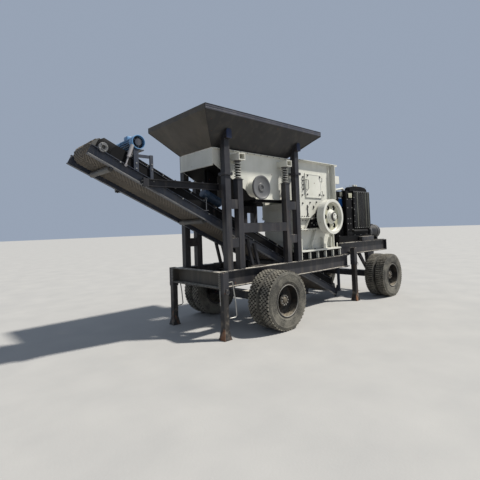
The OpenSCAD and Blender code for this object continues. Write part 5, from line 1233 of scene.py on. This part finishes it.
# The conveyor's motor.
# A finned geared motor in light blue lies across the head on a portal, its open cowl to the near
# side with a dark fan behind the grille.
pale_blue = coated("motor_blue", (104, 150, 192), (82, 126, 168), dusty=0.35, rusty=0.06,
                   rough=0.38)
fan_dark = coated("fan_dark", (26, 28, 36), (20, 21, 26), dusty=0.2, rough=0.6)
spot, node = (-1250, 0, 3160), ["conveyor_drive"]
drive = Fabrication()
drive.turned([(97, -465), (103, -465), (106, -461), (106, -358), (100, -350), (82, -350),
              (82, -340), (78, -336), (78, -356), (96, -362), (97, -366)], spot, closed=True)
drive.turned([(60, 62), (95, 66), (95, 82), (60, 82)], spot, steps=48, closed=True)
drive.turned([(0, 80), (92, 80), (96, 84), (96, 230), (90, 236), (30, 236), (0, 236)], spot,
             steps=48)
for spin in spun(18, "Y", spot):
    drive.plate((-4, -338, 76), (4, 58, 97), 0, spin)
drive.plate((-1300, -190, 3232), (-1200, -70, 3296), 5)
drive.plate((-1292, -182, 3294), (-1208, -78, 3303), 3)
feet = -300, -20, 110, 210
for y in feet:
    drive.plate((-1330, y - 12, 3052), (-1170, y + 12, 3066), 3)
    drive.sheet([(-1316, 3060), (-1184, 3060), (-1206, 3120), (-1294, 3120)], y - 7, y + 7, 2)
drive.done("conveyor_motor", pale_blue, "motor_paint", replaces=node)
barrel = Fabrication()
barrel.turned([(0, -352), (70, -352), (78, -346), (78, 64), (0, 64)], spot, steps=48)
barrel.done("motor_barrel", deep_blue, "motor_paint", replaces=node)
fan = Fabrication()
fan.turned([(0, -448), (50, -448), (53, -445), (53, -438), (0, -438)], spot, steps=40)
for spin in spun(3, "Y", spot, 0.5):
    fan.plate((-3, -444, 48), (3, -438, 98), 0, spin)
fan.done("fan_plate", slate, "motor_paint", replaces=node)
fan = Fabrication()
fan.turned([(0, -380), (97, -380), (97, -372), (0, -372)], spot, steps=48)
fan.turned([(0, -418), (30, -418), (34, -414), (34, -378), (0, -378)], spot, steps=32)
fan.turned([(40, -410), (80, -410), (82, -407), (82, -403), (40, -403)], spot, steps=48,
           closed=True)
for spin in spun(9, "Y", spot):
    fan.plate((-2, -402, 32), (2, -378, 90), 0, spin)
fan.done("motor_fan", fan_dark, "motor_paint", replaces=node)
held = grid((-1322, -1178), feet, 3066, up) + ring((-1250, 66, 3160), 88, 8, to_near, 0.5)
held += both_sides(grid((-1288, -1035), 449, (2760, 2840), to_far))
held += both_sides(grid(-1211, (463, 487), (2530, 2580), to_front))
bolts("drive_bolts", zinc, "motor_paint", held, 15, 9, 2)
arms = grid((3886, 3914), 500, 260, to_far)
for z, way in ((2611, up), (2499, down)):
    arms += grid((-1180, -640, -100, 240), 475, z, way)
bolts("arm_bolts", dark_bolt, "frame_paint", both_sides(arms), 24, 12, 3)
